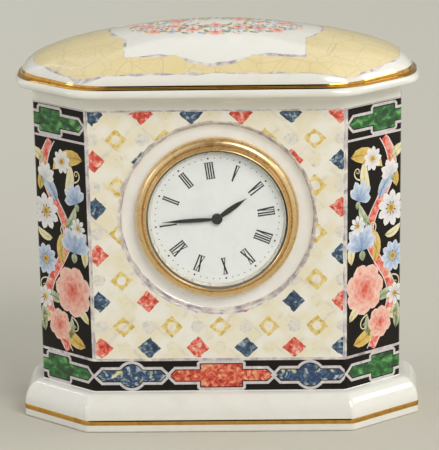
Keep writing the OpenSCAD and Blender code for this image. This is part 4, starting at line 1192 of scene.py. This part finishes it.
# Screen ink is matt and nearly black, and lies as a film on the dial.
ink = finish("black_dial_ink", ("#141414", "#1E1D1C", "#191817"), 0.8, (0.35, 0.5))
minutes, given = node_tree("minute_dots", {
    "Dots": ("Int", 60), "Radius": ("Float", dots_r), "Dot": ("Float", 0.15), "Fifth": ("Float", 1.8),
    "Turn": ("Float", math.radians(90 - dial_turn)), "Ink": ("Material", None)})
circle = add(minutes, "GeometryNodeMeshCircle", {"Vertices": given["Dots"], "Radius": given["Radius"]})
faced = add(minutes, "ShaderNodeCombineXYZ", {"Z": given["Turn"]})
set_round = add(minutes, "GeometryNodeTransform", {"Geometry": circle, "Rotation": faced})
dot = add(minutes, "GeometryNodeMeshCylinder", {"Vertices": 14, "Radius": given["Dot"], "Depth": 0.06})
is_fifth = add(minutes, "GeometryNodeInputIndex")
for operation, value in (("MODULO", 5), ("COMPARE", 0)):
    is_fifth = add(minutes, "ShaderNodeMath", {0: is_fifth, 1: value}, operation=operation)
more = add(minutes, "ShaderNodeMath", {0: given["Fifth"], 1: 1}, operation="SUBTRACT")
wide = add(minutes, "ShaderNodeMath", {0: is_fifth, 1: more, 2: 1}, operation="MULTIPLY_ADD")
size = add(minutes, "ShaderNodeCombineXYZ", {"X": wide, "Y": wide, "Z": 1.0})
dots = add(minutes, "GeometryNodeInstanceOnPoints", {"Points": set_round, "Instance": dot, "Scale": size})
solid = add(minutes, "GeometryNodeRealizeInstances", {"Geometry": dots})
inked = add(minutes, "GeometryNodeSetMaterial", {"Geometry": solid, "Material": given["Ink"]})
add(minutes, "NodeGroupOutput", {"Geometry": inked})
printed = flat_print()
printed.from_mesh(grown(minutes, {"Ink": ink}))
for hour, numeral in enumerate(("XII", "I", "II", "III", "IIII", "V", "VI", "VII", "VIII", "IX", "X", "XI")):
    a = math.radians(90 - dial_turn - 30 * hour)
    outward, across = Vector((math.cos(a), math.sin(a))), Vector((math.sin(a), -math.cos(a)))
    left = -sum(letter_w[letter] for letter in numeral) / 2
    bars = []
    for letter in numeral:
        far, mid = left + letter_w[letter], left + letter_w[letter] / 2
        if letter == "I":
            bars.append(((mid, 0), (mid, 1), stem))
        elif letter == "V":
            bars.append(((mid, 0), (left + slope_in, 1), thick_bar))
            bars.append(((mid, 0), (far - slope_in, 1), thin_bar))
        else:
            bars.append(((far - slope_in, 0), (left + slope_in, 1), thick_bar))
            bars.append(((left + slope_in, 0), (far - slope_in, 1), thin_bar))
        for end in (0, 1):
            if letter != "V" or end:
                bars.append(((left + serif_in, end), (far - serif_in, end), 0))
        left = far
    tall = numeral_out - numeral_in
    for (x0, s0), (x1, s1), thick in bars:
        if thick:
            corners = [(x0 - thick / 2, s0), (x0 + thick / 2, s0), (x1 + thick / 2, s1), (x1 - thick / 2, s1)]
        else:
            inward = serif_t / tall if s0 == 0 else -serif_t / tall
            corners = [(x0, s0), (x1, s1), (x1, s1 + inward), (x0, s0 + inward)]
        slab(printed, [across * x + outward * (numeral_in + tall * s) for x, s in corners], 0.03)
made("dial_print", bent(printed, on_dial), ink, "insert", smooth=False)

# The other parts of the insert keep their CAD shapes, each in the finish of its own making: the dial
# and hands that show, and behind them the cup, the rubber ring, plates, wheels, coil and cell.
for name, stops, patch_mm, rough, more, nodes in (
        # Sprayed and baked enamel: even, with a soft sheen on the dial and a gloss on the thin hands.
        ("satin_dial_enamel", ("#E0E4E2", "#E5E8E6", "#E2E6E4"), 6, (0.5, 0.6), {"gloss": 0.3}, ["dial"]),
        ("black_hand_lacquer", ("#171615", "#22201E", "#1B1A19"), 1.5, (0.25, 0.4), {},
         ["hour_hand", "minute_hand"]),
        # A silvered ring mirrors a little; moulded plastic is plain, and fine-grained where the mould
        # is spark-eroded.
        ("silvered_ring", ("#CBC2B1", "#D6CEBF", "#D0C8B8"), 2, (0.22, 0.35), {"metallic": 0.3},
         ["dial_ring"]),
        ("pale_moulded_plastic", ("#DAD8CF", "#E3E1D9", "#D6D3C8"), 2, (0.3, 0.45), {}, ["setting_knob"]),
        ("spark_eroded_plastic", ("#B9B8B0", "#C6C5BE", "#BFBEB7"), 0.5, (0.4, 0.6), {"relief_mm": 0.05},
         ["cup", "battery_hatch"]),
        # Rubber from a bare mould is matt, and dusty dark grey rather than black.
        ("moulded_rubber", ("#1B1A19", "#262423", "#201F1E"), 0.8, (0.55, 0.75), {"relief_mm": 0.05},
         ["grip_ring"]),
        # Brushed steel has fine upright streaks of more and less gloss; stamped brass and annealed
        # iron are plainer and duller, and nickel plate is the brightest of them.
        ("brushed_steel", ("#8F9193", "#A7A9AA", "#9A9C9E"), 0.4, (0.25, 0.4),
         {"metallic": 1.0, "stretch": (1, 1, 0.1)},
         ["main_plate", "bridge", "cannon_pinion", "movement_screws"]),
        ("stamped_wheel_brass", ("#B58B3C", "#CBA455", "#C19A49"), 0.8, (0.22, 0.36), {"metallic": 1.0},
         ["hour_wheel", "minute_wheel", "centre_wheel", "third_wheel", "seconds_wheel", "step_wheel"]),
        ("bright_annealed_iron", ("#55575A", "#6C6E71", "#606266"), 0.8, (0.35, 0.5), {"metallic": 1.0},
         ["rotor", "stator", "coil_core"]),
        ("nickel_plate", ("#A9A8A2", "#BDBCB6", "#B3B2AC"), 2, (0.15, 0.28), {"metallic": 1.0},
         ["quartz_can", "battery"]),
        # The board's resist is a clear green varnish, the wire is copper in red-brown enamel, finely
        # wound, and the chip sits under a matt blob of resin.
        ("green_board_resist", ("#123F22", "#1B5630", "#164A29"), 1.2, (0.25, 0.4), {"coat": 0.3},
         ["bobbin", "circuit_board"]),
        ("enamelled_copper_wire", ("#7A3616", "#B5602C", "#8F4520"), 0.3, (0.2, 0.35),
         {"metallic": 1.0, "stretch": (0.2, 1, 1)}, ["coil"]),
        ("black_potting_resin", ("#121212", "#1D1C1C", "#171616"), 0.8, (0.4, 0.6), {"relief_mm": 0.03},
         ["chip"])):
    dressed(finish(name, stops, patch_mm, rough, **more), *nodes)
dressed(brass, "plus_contact", "minus_contact")
